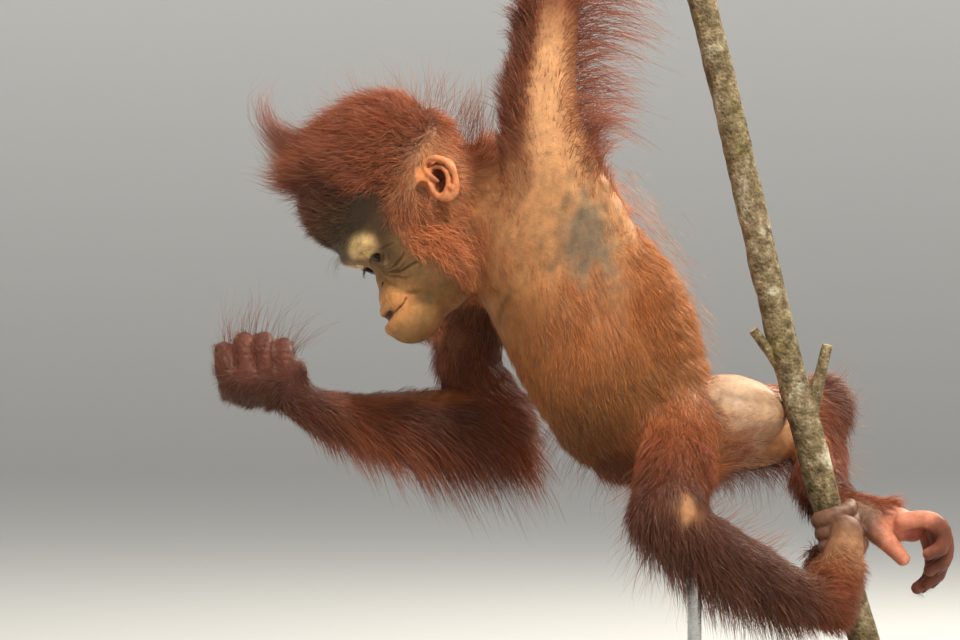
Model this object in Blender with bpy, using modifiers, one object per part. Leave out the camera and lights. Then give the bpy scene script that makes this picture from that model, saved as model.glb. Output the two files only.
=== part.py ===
"""A young orangutan as a still, life-size museum model: it hangs by one arm and one foot from a leaning
length of tree trunk on a display stand. Metres, +Z up; it faces -X and its left side is toward -Y."""
import math

import bmesh
import bpy
from mathutils import Matrix, Vector

for old in list(bpy.data.objects):
    bpy.data.objects.remove(old, do_unlink=True)

MM = 0.001

# ---- layout -------------------------------------------------------------------------------------------------
UNIT = 0.00065          # one step of the layout sheet, in metres (across and down)
SHEET_X0 = 650.0        # the step across that lies over the middle of the stand
SHEET_V0 = 320.0        # the step down that lies at EYE_HEIGHT
EYE_HEIGHT = 0.268      # height of that line above the floor

# ---- stand --------------------------------------------------------------------------------------------------
BASE_LENGTH, BASE_WIDTH, BASE_THICK = 0.340, 0.280, 0.018
BASE_CORNER = 0.030
ROD_RADIUS = 0.0045
SOCKET_GAP = 0.00025    # clearance wherever two solids meet

# ---- perch --------------------------------------------------------------------------------------------------
TRUNK_SIDE = -10.0      # mm: the trunk stands this far toward the near side
TRUNK = (               # across, down, radius mm
    (608, -378, 8.3), (640, -255, 8.6), (672, -128, 8.8), (701, 0, 9.1), (723, 88, 9.3), (754, 225, 9.6),
    (786, 360, 9.9), (806, 431, 10.3), (825, 503, 9.8), (855, 613, 10.1), (867, 655, 10.2),
)
# ---- where the limbs join and bend: across, down, side mm, half-width in the picture plane mm, half-width to the side mm
TORSO = (
    (526, 232, 0, 50, 50), (556, 262, 0, 60, 57), (597, 325, 0, 67, 62), (626, 384, 0, 61, 61),
    (653, 419, 0, 50, 56), (692, 434, 0, 35, 49), (724, 417, 0, 27, 38),
)
NECK = ((452, 212, -2, 45, 43), (492, 208, 0, 50, 46), (528, 230, 0, 49, 50))

ARM_LEFT = (
    (556, 212, -38, 42, 30), (548, 165, -49, 37, 29), (541, 115, -56, 31, 28), (546, 55, -60, 25, 25),
    (553, 0, -63, 24.5, 24), (560, -38, -65, 25, 24), (568, -90, -60, 25, 24), (580, -160, -49, 22, 21),
    (591, -232, -34, 15, 14), (599, -262, -24, 12, 11),
)
ARM_LEFT_STREAM = ((596, 118, -52, 17, 10), (612, 62, -55, 23, 10), (608, 0, -58, 19, 10), (598, -50, -60, 12, 10))
FOREARM_LEFT_STREAM = ((594, -60, -60, 12, 11), (603, -110, -54, 14, 11), (598, -170, -47, 9, 8))

ARM_RIGHT = (
    (506, 240, 44, 34, 28), (478, 300, 60, 29, 26), (466, 358, 64, 28, 25), (494, 418, 61, 27, 24),
)
FOREARM_RIGHT = (
    (505, 428, 58, 25, 23), (455, 428, 48, 23, 22), (400, 425, 33, 20, 20), (350, 420, 19, 17, 17),
    (312, 408, 7, 16, 15), (292, 396, 2, 16, 14),
)
FOREARM_RIGHT_FRINGE = (
    (536, 452, 52, 16, 12), (500, 470, 50, 20, 11), (450, 466, 43, 19, 11), (400, 456, 31, 16, 10), (350, 440, 19, 9, 9),
)
FRINGE_LOCKS = (        # hanging points of the long hair: root across, down, side; tip across, down; root half-width mm
    (536, 466, 51, 548, 506, 11), (508, 478, 50, 521, 521, 12), (482, 480, 47, 494, 509, 12), (456, 476, 43, 468, 514, 12),
    (428, 470, 37, 440, 503, 12), (400, 466, 31, 410, 508, 11), (370, 456, 23, 380, 486, 10),
)

THIGH_LEFT = ((674, 424, -26, 34, 33), (675, 463, -64, 29, 30), (662, 508, -98, 27, 27))
SHANK_LEFT = (
    (662, 512, -98, 26, 25), (700, 540, -90, 24, 23), (745, 565, -76, 21.5, 21), (788, 588, -60, 18.5, 18),
    (812, 597, -48, 16, 15),
)
KNEE_LEFT_FRINGE = ((612, 500, -90, 13, 14), (628, 535, -94, 19, 14), (668, 568, -92, 15, 12), (715, 592, -82, 10, 10))

THIGH_RIGHT = ((705, 430, 26, 35, 32), (757, 428, 46, 32, 29), (800, 424, 68, 25, 25), (826, 412, 82, 22.5, 22))
THIGH_RIGHT_FRINGE = ((730, 462, 44, 9, 10), (775, 464, 56, 9, 10))
SHANK_RIGHT = ((826, 412, 82, 22.5, 22), (823, 460, 55, 21, 20), (831, 500, 24, 18, 17), (858, 517, 6, 16, 14))

# ---- head: its own axes start between the ears; forward, to the left and up, in mm -----------------------------
HEAD_AT = (425, 194, -3)
HEAD_PITCH, HEAD_YAW = 56.0, 16.0
SKULL = ((8, 0, 26), (61, 55, 55))
FACE = ((42, 0, 8), (21.5, 37, 22))
CHEEKS = ((28, 0, -26), (38, 39, 34))
JAW = ((36, 0, -38), (36, 29, 24))
MUZZLE = (              # forward, up, half-height, half-width: it slopes down from between the eyes to the upper lip
    (47, -9, 12.5, 25), (61, -20, 13, 23), (74, -29.5, 12, 19),
)
CHIN = ((69, 0, -37.5), (22.5, 19, 20))
BROW = ((60, 0, 17), (7, 26, 6))
NOSE = ((65, 0, -8), (6.5, 8.5, 4.5))
FORELOCK = ((24, 0, 68, 20), (31, 0, 88, 13), (25, 0, 108, 6.5), (12, 0, 125, 2))
FRINGE_FRONT = ((46, 0, 60, 15), (51, 0, 76, 10), (49, 0, 88, 3))
CROWN_CREST = ((-12, 0, 66, 8), (-34, 0, 53, 10), (-48, 0, 37, 11), (-56, 0, 18, 11), (-59, 0, 4, 9))
EYE_AT, EYE_RADIUS = (50.6, 17.2, 4.2), 9.6
EYE_OPEN = (11.0, 5.2)      # half-width and half-height of the space between the lids
EAR_AT = (-1.0, 49.0, 0.5)
EAR_SIZE = (13.5, 16.5)     # half-width and half-height of the shell
EAR_THICK = 6.0
EAR_LEAN, EAR_FLARE = 29.0, 24.0

# ---- fingers and toes ---------------------------------------------------------------------------------------
FINGER_RADIUS, FINGER_TIP = 5.0, 3.9
GRIP_GAP = 0.3              # mm between a gripping finger and the bark

VOXEL = 0.0021
BODY_TRIANGLES = 3120
CUT = 0.00030               # width of the cuts between the parts


def at(across, down, side=0.0):
    return Vector(((across - SHEET_X0) * UNIT, side * MM, EYE_HEIGHT + (SHEET_V0 - down) * UNIT))


_p, _y = math.radians(HEAD_PITCH), math.radians(HEAD_YAW)
_front = Vector((-math.cos(_p), 0, -math.sin(_p)))
HEAD_UP = Vector((-math.sin(_p), 0, math.cos(_p)))
_near = Vector((0, -1, 0))
HEAD_FRONT = (_front * math.cos(_y) + _near * math.sin(_y)).normalized()
HEAD_LEFT = (_near * math.cos(_y) - _front * math.sin(_y)).normalized()
HEAD_AXES = Matrix((HEAD_FRONT, HEAD_LEFT, HEAD_UP)).transposed()
HEAD_ZERO = at(*HEAD_AT)


def in_head(forward, left, up):
    return HEAD_ZERO + HEAD_AXES @ Vector((forward, left, up)) * MM


def smooth_path(stations, step=0.006):
    """Stations (place, sizes...) joined by a smooth curve through them."""
    pts = [(Vector(s[0]), list(s[1:])) for s in stations]
    ends = [(pts[0][0] * 2 - pts[1][0], pts[0][1])] + pts + [(pts[-1][0] * 2 - pts[-2][0], pts[-1][1])]
    out = []
    for i in range(1, len(ends) - 2):
        p0, p1, p2, p3 = (ends[i + k][0] for k in (-1, 0, 1, 2))
        a, b = ends[i][1], ends[i + 1][1]
        n = max(2, int((p2 - p1).length / step))
        for k in range(n):
            t = k / n
            p = 0.5 * ((2 * p1) + (p2 - p0) * t + (2 * p0 - 5 * p1 + 4 * p2 - p3) * t * t
                       + (3 * p1 - p0 - 3 * p2 + p3) * t ** 3)
            s = t * t * (3 - 2 * t)
            out.append((p, [x + (y - x) * s for x, y in zip(a, b)]))
    out.append(pts[-1])
    return out


def loft(name, stations, around=18, caps=4, flat_ends=False, step=0.006, more=0.0, side=(0, 1, 0)):
    """A closed tube with oval sections: stations are (place, half-width up the picture, half-width to the side).
    more widens every ring and moves the first one out, without moving the rest."""
    side = Vector(side)
    path = smooth_path(stations, step)
    n = len(path)
    rings = []
    for i, (p, (ra, rb)) in enumerate(path):
        t = (path[min(i + 1, n - 1)][0] - path[max(i - 1, 0)][0]).normalized()
        b = side - t * t.dot(side)
        b = b.normalized() if b.length > 0.2 else Vector((1, 0, 0)).cross(t).normalized()
        rings.append((p, t, b.cross(t).normalized(), b, ra, rb))
    if more:
        p, t, a, b, ra, rb = rings[0]
        rings[0] = (p - t * more, t, a, b, ra, rb)
        rings = [(p, t, a, b, ra + more, rb + more) for p, t, a, b, ra, rb in rings]
    bm = bmesh.new()
    loops = []

    def ring(p, a, b, ra, rb):
        loops.append([bm.verts.new(p + a * (ra * math.cos(2 * math.pi * k / around))
                                   + b * (rb * math.sin(2 * math.pi * k / around))) for k in range(around)])

    if not flat_ends:
        p, t, a, b, ra, rb = rings[0]
        deep = min(ra, rb)
        for k in range(1, caps):
            w = k / caps * math.pi / 2
            ring(p - t * (deep * math.cos(w)), a, b, ra * math.sin(w), rb * math.sin(w))
    for p, t, a, b, ra, rb in rings:
        ring(p, a, b, ra, rb)
    if not flat_ends:
        p, t, a, b, ra, rb = rings[-1]
        deep = min(ra, rb)
        for k in range(caps - 1, 0, -1):
            w = k / caps * math.pi / 2
            ring(p + t * (deep * math.cos(w)), a, b, ra * math.sin(w), rb * math.sin(w))
    for lo, hi in zip(loops, loops[1:]):
        for k in range(around):
            j = (k + 1) % around
            if flat_ends:       # triangles, so that a room and the same room made larger bend alike
                bm.faces.new((lo[k], lo[j], hi[j]))
                bm.faces.new((lo[k], hi[j], hi[k]))
            else:
                bm.faces.new((lo[k], lo[j], hi[j], hi[k]))
    bm.faces.new(list(reversed(loops[0])))
    bm.faces.new(loops[-1])
    bmesh.ops.recalc_face_normals(bm, faces=bm.faces)
    me = bpy.data.meshes.new(name)
    bm.to_mesh(me)
    bm.free()
    ob = bpy.data.objects.new(name, me)
    bpy.context.collection.objects.link(ob)
    return ob


def limb(name, rows):
    return loft(name, [(at(u, v, y), ra * MM, rb * MM) for u, v, y, ra, rb in rows])


def strand(name, rows):
    """A round tapering tube through (place, radius in mm) rows."""
    return loft(name, [(p, r * MM, r * MM) for p, r in rows], around=14, caps=3)


def ellipsoid(name, middle, axes, radii, segments=32, rings=20):
    bpy.ops.mesh.primitive_uv_sphere_add(segments=segments, ring_count=rings, radius=1.0)
    ob = bpy.context.object
    ob.name = name
    m = axes.to_4x4() @ Matrix.Diagonal((*[r * MM for r in radii], 1.0))
    m.translation = middle
    ob.data.transform(m)
    return ob


def head_ball(name, spec):
    return ellipsoid(name, in_head(*spec[0]), HEAD_AXES, spec[1])


def trunk_at(down):
    """Middle of the trunk and its radius (mm) at a height."""
    rows = TRUNK
    for a, b in zip(rows, rows[1:]):
        if down <= b[1] or b is rows[-1]:
            t = (down - a[1]) / (b[1] - a[1])
            return at(a[0] + (b[0] - a[0]) * t, down, TRUNK_SIDE), a[2] + (b[2] - a[2]) * t
    return None


def around_trunk(down, turn, out):
    """A place beside the trunk: turn 0 is toward -X, 90 toward the near side, 180 toward +X; out is mm from its bark."""
    c, r = trunk_at(down)
    w = math.radians(turn)
    return c + Vector((-math.cos(w), -math.sin(w), 0)) * ((r + out) * MM)


def wrap(name, down0, down1, turn0, turn1, r0=FINGER_RADIUS, r1=FINGER_TIP, steps=9, gap=GRIP_GAP):
    rows = []
    for k in range(steps):
        t = k / (steps - 1)
        r = r0 + (r1 - r0) * t
        rows.append((around_trunk(down0 + (down1 - down0) * t, turn0 + (turn1 - turn0) * t, r + gap), r))
    return strand(name, rows)


# ---- the body, made whole --------------------------------------------------------------------------------------
body = []
body.append(limb("b_torso", TORSO))
body.append(limb("b_neck", NECK))
body.append(limb("b_arm_left", ARM_LEFT))
body.append(limb("b_arm_stream", ARM_LEFT_STREAM))
body.append(limb("b_forearm_stream", FOREARM_LEFT_STREAM))
body.append(limb("b_arm_right", ARM_RIGHT))
body.append(limb("b_forearm_right", FOREARM_RIGHT))
body.append(limb("b_fringe", FOREARM_RIGHT_FRINGE))
for i, (u, v, y, u2, v2, r) in enumerate(FRINGE_LOCKS):
    body.append(strand(f"b_lock{i}", ((at(u, v - 8, y), r), (at((u + u2) / 2 + 2, (v + v2) / 2, y), r * 0.62), (at(u2, v2, y), 1.2))))
body.append(limb("b_thigh_left", THIGH_LEFT))
body.append(limb("b_shank_left", SHANK_LEFT))
body.append(limb("b_knee_fringe", KNEE_LEFT_FRINGE))
body.append(limb("b_thigh_right", THIGH_RIGHT))
body.append(limb("b_thigh_fringe", THIGH_RIGHT_FRINGE))
body.append(limb("b_shank_right", SHANK_RIGHT))
for name, spec in (("b_skull", SKULL), ("b_face", FACE), ("b_cheeks", CHEEKS), ("b_jaw", JAW), ("b_chin", CHIN),
                   ("b_nose", NOSE), ("b_brow", BROW)):
    body.append(head_ball(name, spec))
body.append(loft("b_muzzle", [(in_head(a, 0, b), h * MM, w * MM) for a, b, h, w in MUZZLE], side=HEAD_LEFT))
body.append(strand("b_forelock", [(in_head(a, c, b), r) for a, c, b, r in FORELOCK]))
body.append(strand("b_front_hair", [(in_head(a, c, b), r) for a, c, b, r in FRINGE_FRONT]))
body.append(loft("b_crest", [(in_head(a, c, b), r * MM, r * 1.7 * MM) for a, c, b, r in CROWN_CREST]))

# right hand: a loosely closed fist, its knuckles up
FIST_MIDDLE = (256, 374, 0)
body.append(ellipsoid("b_palm_right", at(*FIST_MIDDLE), Matrix.Identity(3), (27, 14, 19)))
for i in range(4):
    u = 222 + 20.5 * i
    lift = (7, 0, -1, 3)[i]
    body.append(strand(f"b_finger_r{i}", (
        (at(u + 6, 392, -9), 6.6), (at(u, 366 + lift, -11), 6.4), (at(u, 343 + lift, -5), 6.2), (at(u + 1, 341 + lift, 7), 5.6),
        (at(u + 3, 360 + lift, 14), 5.0), (at(u + 6, 378 + lift, 10), 4.2))))
body.append(strand("b_thumb_r", ((at(300, 392, 6), 7.5), (at(283, 368, 15), 6.4), (at(262, 356, 19), 5.4), (at(246, 352, 18), 4.4))))

# left hand: hooked round the trunk, thumb up
_c, _r = trunk_at(-292)
body.append(ellipsoid("b_palm_left", around_trunk(-286, 12, 7.6), Matrix.Rotation(math.radians(-14), 3, "Y"), (7.6, 15, 22)))
for i in range(4):
    v = -322 + 17.5 * i
    body.append(wrap(f"b_finger_l{i}", v + 8, v - 4, -10, (-205, -215, -210, -190)[i]))
body.append(wrap("b_thumb_l", -268, -318, 40, 132, 6.0, 4.4))

# left foot: sole to the trunk, toes over it, great toe behind
body.append(strand("b_heel_left", ((at(826, 606, -42), 11.5), (at(822, 590, -44), 13))))
body.append(strand("b_foot_left", ((at(818, 594, -44), 14), (at(832, 570, -36), 13.5), (at(840, 546, -32), 12.5), (at(842, 528, -31), 10.5))))
for i in range(4):
    v = 505 + 12.5 * i
    body.append(wrap(f"b_toe_l{i}", v + 14, v, 62, 172, 6.0, 5.0))
body.append(wrap("b_hallux_l", 572, 552, 40, -28, 6.8, 5.2))

# right foot: held out past the trunk, toes curling down
body.append(strand("b_foot_right", ((at(856, 518, 5), 13.5), (at(880, 520, 3), 13), (at(903, 526, 2), 11.5), (at(914, 530, 1), 9))))
for i in range(4):
    y = -11 + 7.6 * i
    body.append(strand(f"b_toe_r{i}", (
        (at(902, 520 + 2 * i, y * 0.8), 6.0), (at(930, 514 + 6 * i, y), 5.6), (at(947, 529 + 9 * i, y), 5.4),
        (at(943, 552 + 8 * i, y * 0.9), 4.9), (at(930, 562 + 8 * i, y * 0.8), 4.0))))
body.append(strand("b_hallux_r", ((at(874, 530, -6), 8.0), (at(889, 546, -10), 6.4), (at(901, 559, -11), 4.6))))

bpy.ops.object.select_all(action="DESELECT")
for ob in body:
    ob.select_set(True)
whole = body[0]
bpy.context.view_layer.objects.active = whole
bpy.ops.object.join()
whole.name = "whole"


def apply_all(ob):
    """Makes the object's modifiers final."""
    dg = bpy.context.evaluated_depsgraph_get()
    me = bpy.data.meshes.new_from_object(ob.evaluated_get(dg))
    ob.modifiers.clear()
    old = ob.data
    ob.data = me
    bpy.data.meshes.remove(old)


mod = whole.modifiers.new("one_skin", "REMESH")
mod.mode = "VOXEL"
mod.voxel_size = VOXEL
mod.adaptivity = 0.0
mod = whole.modifiers.new("soften", "SMOOTH")
mod.factor, mod.iterations = 0.5, 5
apply_all(whole)

# ---- what is cut away from the body: the grip on the trunk, sockets, eyes, mouth --------------------------------
parts_home = bpy.data.collections.new("orangutan")
cutters_home = bpy.data.collections.new("cutters")
bpy.context.scene.collection.children.link(parts_home)
bpy.context.scene.collection.children.link(cutters_home)


def home(ob, where):
    for c in list(ob.users_collection):
        c.objects.unlink(ob)
    where.objects.link(ob)
    if where is cutters_home:
        ob.hide_render = True
        ob.display_type = "WIRE"
    return ob


def take(ob, cutter, how="DIFFERENCE"):
    m = ob.modifiers.new(cutter.name, "BOOLEAN")
    m.operation, m.object, m.solver = how, cutter, "EXACT"
    return m


def rod(name, a, b, radius, around=14):
    d = b - a
    bpy.ops.mesh.primitive_cylinder_add(vertices=around, radius=radius, depth=d.length)
    ob = bpy.context.object
    ob.name = name
    m = d.to_track_quat("Z", "Y").to_matrix().to_4x4()
    m.translation = (a + b) / 2
    ob.data.transform(m)
    return ob


trunk_rows = [(at(u, v, TRUNK_SIDE), r * MM, r * MM) for u, v, r in TRUNK]
STUBS = (               # the cut ends of three side shoots: from, to (across, down, side), radius mm at each end
    ((790, 380, -10), (752, 330, -14), 4.2, 2.9),
    ((806, 430, -10), (826, 345, -12), 4.6, 3.5),
    ((697, -12, -10), (674, -48, -13), 3.8, 2.6),
)
perch = loft("perch", trunk_rows, around=12, flat_ends=True, step=0.08)
for i, (a, b, r0, r1) in enumerate(STUBS):
    stub = loft(f"perch_stub{i}", [(at(*a), r0 * MM, r0 * MM), (at(*b), r1 * MM, r1 * MM)], around=8, flat_ends=True,
                step=0.1)
    home(stub, cutters_home)
    take(perch, stub, "UNION")
grip_room = loft("grip_room", [(p, ra + SOCKET_GAP, rb + SOCKET_GAP) for p, ra, rb in trunk_rows], around=14, flat_ends=True, step=0.06)
home(grip_room, cutters_home)
for i, (a, b, r0, r1) in enumerate(STUBS[:2]):
    room = loft(f"stub_room{i}", [(at(*a), (r0 + .3) * MM, (r0 + .3) * MM), (at(*b), (r1 + .3) * MM, (r1 + .3) * MM)],
                around=12, flat_ends=True)
    home(room, cutters_home)

dec = whole.modifiers.new("facets", "DECIMATE")
dec.ratio = min(1.0, BODY_TRIANGLES / (2.0 * len(whole.data.polygons)))
dec.use_collapse_triangulate = True
apply_all(whole)

BASE_TOP = BASE_THICK
_low, _ = trunk_at(655)
_up, _ = trunk_at(610)
_along = (_up - _low).normalized()
rod_perch_top = _low + _along * 0.026
rod_perch_foot = _low - _along * ((_low.z - BASE_TOP + 0.010) / _along.z)
KNEE_ROD = (688, 548, -90)
rod_body_top = at(*KNEE_ROD)
rod_body_foot = Vector((rod_body_top.x, rod_body_top.y, BASE_TOP - 0.010))

take(whole, grip_room)
body_socket = home(rod("body_socket", rod_body_foot - Vector((0, 0, .01)), rod_body_top + Vector((0, 0, SOCKET_GAP)), ROD_RADIUS + SOCKET_GAP), cutters_home)
take(whole, body_socket)

eyes, ears = [], []
for side, word in ((1, "left"), (-1, "right")):
    a, c, b = EYE_AT
    spot = in_head(a, c * side, b)
    look = (HEAD_AXES @ Vector((1, 0.10 * side, -0.05))).normalized()
    eye = ellipsoid(f"eye_{word}", spot, HEAD_AXES, (EYE_RADIUS,) * 3, 14, 8)
    socket = home(ellipsoid(f"socket_{word}", spot, HEAD_AXES, (EYE_RADIUS + 0.3,) * 3, 14, 8), cutters_home)
    lids = home(ellipsoid(f"lids_{word}", spot + look * 0.0135, HEAD_AXES, (9.5, EYE_OPEN[0], EYE_OPEN[1]), 12, 6), cutters_home)
    take(whole, socket)
    take(whole, lids)
    eyes.append(eye)
    ca, cc, cb = EAR_AT
    axes = Matrix.Rotation(math.radians(EAR_LEAN), 3, HEAD_LEFT) @ Matrix.Rotation(-side * math.radians(EAR_FLARE), 3, HEAD_UP) @ HEAD_AXES
    mid = in_head(ca, cc * side, cb)
    ear = ellipsoid(f"ear_{word}", mid, axes, (EAR_SIZE[0], EAR_THICK, EAR_SIZE[1]), 14, 8)
    out = axes @ Vector((0, side, 0))
    bowl = home(ellipsoid(f"bowl_{word}", mid + out * 0.0062 + axes @ Vector((0.0012, 0, 0.0005)), axes,
                          (EAR_SIZE[0] - 3.2, EAR_THICK - 0.6, EAR_SIZE[1] - 4.0), 12, 8), cutters_home)
    take(ear, bowl)
    pocket = home(ellipsoid(f"pocket_{word}", mid, axes, (EAR_SIZE[0] + .3, EAR_THICK + .3, EAR_SIZE[1] + .3), 14, 8), cutters_home)
    take(whole, pocket)
    ears.append(ear)

# the line of the mouth: a thin wedge from the lips back to the corners
MOUTH = ((86, -24.0), (70, -28.5))
mouth_mid = in_head((MOUTH[0][0] + MOUTH[1][0]) / 2 + 4, 0, (MOUTH[0][1] + MOUTH[1][1]) / 2 + 1)
tilt = math.atan2(MOUTH[0][1] - MOUTH[1][1], MOUTH[0][0] - MOUTH[1][0])
mouth = home(ellipsoid("mouth", mouth_mid, Matrix.Rotation(-tilt, 3, HEAD_LEFT) @ HEAD_AXES, (14, 24, 1.3), 12, 6), cutters_home)
take(whole, mouth)
apply_all(whole)

# ---- the parts, outermost first: each is what of the body lies in its room, which begins at the cut next to the trunk
# of the body: across, down, side mm, half-width in the picture plane mm, half-width to the side mm ------------------
ROOMS = (
    ("hand_left", ((592, -240, -31, 30, 30), (610, -300, -15, 46, 46), (620, -350, -10, 46, 46))),
    ("forearm_left", ((561, -40, -65, 45, 34), (575, -120, -58, 43, 34), (590, -200, -42, 36, 32), (596, -246, -28, 26, 26))),
    ("upper_arm_left", ((562, 174, -50, 46, 42), (572, 115, -58, 57, 40), (578, 50, -61, 56, 38), (568, -80, -64, 54, 38))),
    ("hand_right", ((303, 402, 5, 30, 28), (262, 380, 2, 42, 34), (200, 360, 0, 42, 34))),
    ("forearm_right", ((486, 456, 55, 42, 34), (440, 454, 46, 41.5, 34), (395, 448, 33, 42, 32), (345, 432, 19, 36, 28),
                       (300, 408, 5, 30, 30), (280, 398, 0, 30, 30))),
    ("upper_arm_right", ((512, 258, 54, 42, 34), (482, 304, 63, 38, 33), (468, 358, 66, 34, 30), (490, 414, 64, 33, 30),
                         (512, 470, 60, 44, 32), (526, 524, 54, 40, 30))),
    ("foot_right", ((866, 518, 4, 26, 26), (905, 532, 0, 40, 36), (965, 560, 0, 50, 36))),
    ("foot_left", ((805, 594, -51, 26, 24), (833, 575, -42, 46, 50), (846, 520, -32, 46, 37), (850, 482, -28, 36, 28))),
    ("shank_left", ((682, 529, -94, 42, 32), (740, 566, -77, 38, 30), (790, 592, -58, 30, 26), (812, 600, -48, 27, 26), (832, 612, -40, 28, 28))),
    ("thigh_left", ((680, 427, -32, 44, 42), (679, 462, -66, 42, 42), (655, 512, -98, 50, 42), (636, 556, -114, 56, 44),
                    (622, 596, -134, 58, 44))),
    ("shank_right", ((826, 430, 76, 34, 34), (823, 462, 54, 32, 30), (832, 500, 24, 28, 26), (872, 522, 2, 24, 24))),
    ("thigh_right", ((716, 430, 34, 38, 36), (757, 430, 50, 41, 36), (800, 425, 70, 38, 34), (845, 404, 92, 40, 36),
                     (872, 392, 108, 40, 36))),
    ("head", ((472, 224, -2, 90, 76), (420, 212, -3, 106, 84), (330, 190, -3, 106, 84), (230, 150, -3, 95, 70))),
    ("neck", ((497, 216, 0, 82, 70), (460, 216, 0, 82, 70))),
    ("chest", ((574, 294, 0, 88, 82), (455, 120, 0, 88, 90))),
    ("belly", ((662, 421, 0, 78, 80), (600, 320, 0, 100, 84), (560, 262, 0, 100, 84))),
)


def room(name, rows, more):
    """The room of a part, larger by more (metres) on every side."""
    pts = [(at(u, v, y), ra * MM, rb * MM) for u, v, y, ra, rb in rows]
    return home(loft(name, pts, around=16, flat_ends=True, step=0.03, more=more), cutters_home)


def twin(ob, name):
    other = bpy.data.objects.new(name, ob.data.copy())
    return home(other, parts_home)


def clear_crumbs(ob, largest=4e-6):
    """Takes away the slivers (under 4 cm3) that a curved cut leaves beside the main solid."""
    bm = bmesh.new()
    bm.from_mesh(ob.data)
    left, shells = set(bm.verts), []
    while left:
        shell, edge = set(), [left.pop()]
        while edge:
            v = edge.pop()
            shell.add(v)
            for e in v.link_edges:
                w = e.other_vert(v)
                if w in left:
                    left.discard(w)
                    edge.append(w)
        shells.append(sorted(shell, key=lambda v: v.index))
    shells.sort(key=lambda s: -len(s))
    for shell in shells[1:]:
        lo = [min(v.co[k] for v in shell) for k in range(3)]
        hi = [max(v.co[k] for v in shell) for k in range(3)]
        if (hi[0] - lo[0]) * (hi[1] - lo[1]) * (hi[2] - lo[2]) < largest * 6:
            bmesh.ops.delete(bm, geom=shell, context="VERTS")
    bm.to_mesh(ob.data)
    bm.free()


home(whole, parts_home)
named = {}
for name, rows in ROOMS:
    piece = twin(whole, name)
    take(piece, room("room_" + name, rows, 0.0), "INTERSECT")
    take(whole, room("beyond_" + name, rows, CUT))
    apply_all(piece)
    apply_all(whole)
    named[name] = piece
whole.name = "hips"
named["hips"] = whole
for ob in named.values():           # faces in one plane become one face again
    flat = ob.modifiers.new("one_plane", "DECIMATE")
    flat.decimate_type, flat.angle_limit = "DISSOLVE", math.radians(0.05)
    apply_all(ob)
    clear_crumbs(ob)

# ---- the stand -------------------------------------------------------------------------------------------------
bpy.ops.mesh.primitive_cube_add(size=1.0)
base = bpy.context.object
base.name = "stand_base"
base.data.transform(Matrix.Diagonal((BASE_LENGTH, BASE_WIDTH, BASE_THICK, 1.0)))
base.data.transform(Matrix.Translation((0, 0, BASE_THICK / 2)))
bm = bmesh.new()
bm.from_mesh(base.data)
upright = [e for e in bm.edges if abs(e.verts[0].co.z - e.verts[1].co.z) > BASE_THICK / 2]
bmesh.ops.bevel(bm, geom=upright, offset=BASE_CORNER, segments=5, affect="EDGES", profile=0.5)
rim = [e for e in bm.edges if all(v.co.z > BASE_THICK - 1e-6 for v in e.verts) and not e.is_boundary]
bmesh.ops.bevel(bm, geom=rim, offset=0.0015, segments=1, affect="EDGES")
bm.to_mesh(base.data)
bm.free()

stand = [base]
for name, foot, top in (("stand_rod_perch", rod_perch_foot, rod_perch_top), ("stand_rod_body", rod_body_foot, rod_body_top)):
    bar = rod(name, foot, top, ROD_RADIUS)
    way = (top - foot).normalized()
    hole = home(rod(name + "_hole", foot - way * SOCKET_GAP, top + way * SOCKET_GAP, ROD_RADIUS + SOCKET_GAP), cutters_home)
    take(base, hole)
    if name == "stand_rod_perch":
        take(perch, hole)
    stand.append(bar)
for ob in (base, perch):
    apply_all(ob)

# ---- finishes -----------------------------------------------------------------------------------------------------
FINISHES = {            # colour, roughness, metallic
    "coat": ((0.30, 0.095, 0.030), 0.75, 0.0),
    "bare_skin": ((0.42, 0.20, 0.10), 0.55, 0.0),
    "eye": ((0.035, 0.015, 0.008), 0.08, 0.0),
    "bark": ((0.20, 0.17, 0.11), 0.85, 0.0),
    "stand_wood": ((0.09, 0.045, 0.025), 0.45, 0.0),
    "rod_steel": ((0.62, 0.62, 0.60), 0.3, 1.0),
}


def finish_of(name):
    if name.startswith("eye"):
        return "eye"
    if name.startswith(("ear", "hand", "foot")):
        return "bare_skin"
    if name == "perch":
        return "bark"
    if name == "stand_base":
        return "stand_wood"
    return "rod_steel" if name.startswith("stand_rod") else "coat"


for ob in [*named.values(), *eyes, *ears, perch, *stand]:
    home(ob, parts_home)
    kind = finish_of(ob.name)
    colour, rough, metal = FINISHES[kind]
    mat = bpy.data.materials.new(f"{kind}_{ob.name}")
    mat.use_nodes = True
    shader = mat.node_tree.nodes["Principled BSDF"]
    shader.inputs["Base Color"].default_value = (*colour, 1.0)
    shader.inputs["Roughness"].default_value = rough
    shader.inputs["Metallic"].default_value = metal
    ob.data.materials.clear()
    ob.data.materials.append(mat)
for ob in list(bpy.data.objects):
    if ob.type == "MESH" and ob.name not in parts_home.objects and ob.name not in cutters_home.objects:
        home(ob, cutters_home)
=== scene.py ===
"""The looks of the young orangutan: one skin, a coat of tufts, eyes, nails, bark, stand, floor, light and camera."""
import math

import bmesh
import bpy
import numpy as np
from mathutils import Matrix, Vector
from mathutils.kdtree import KDTree


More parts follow.
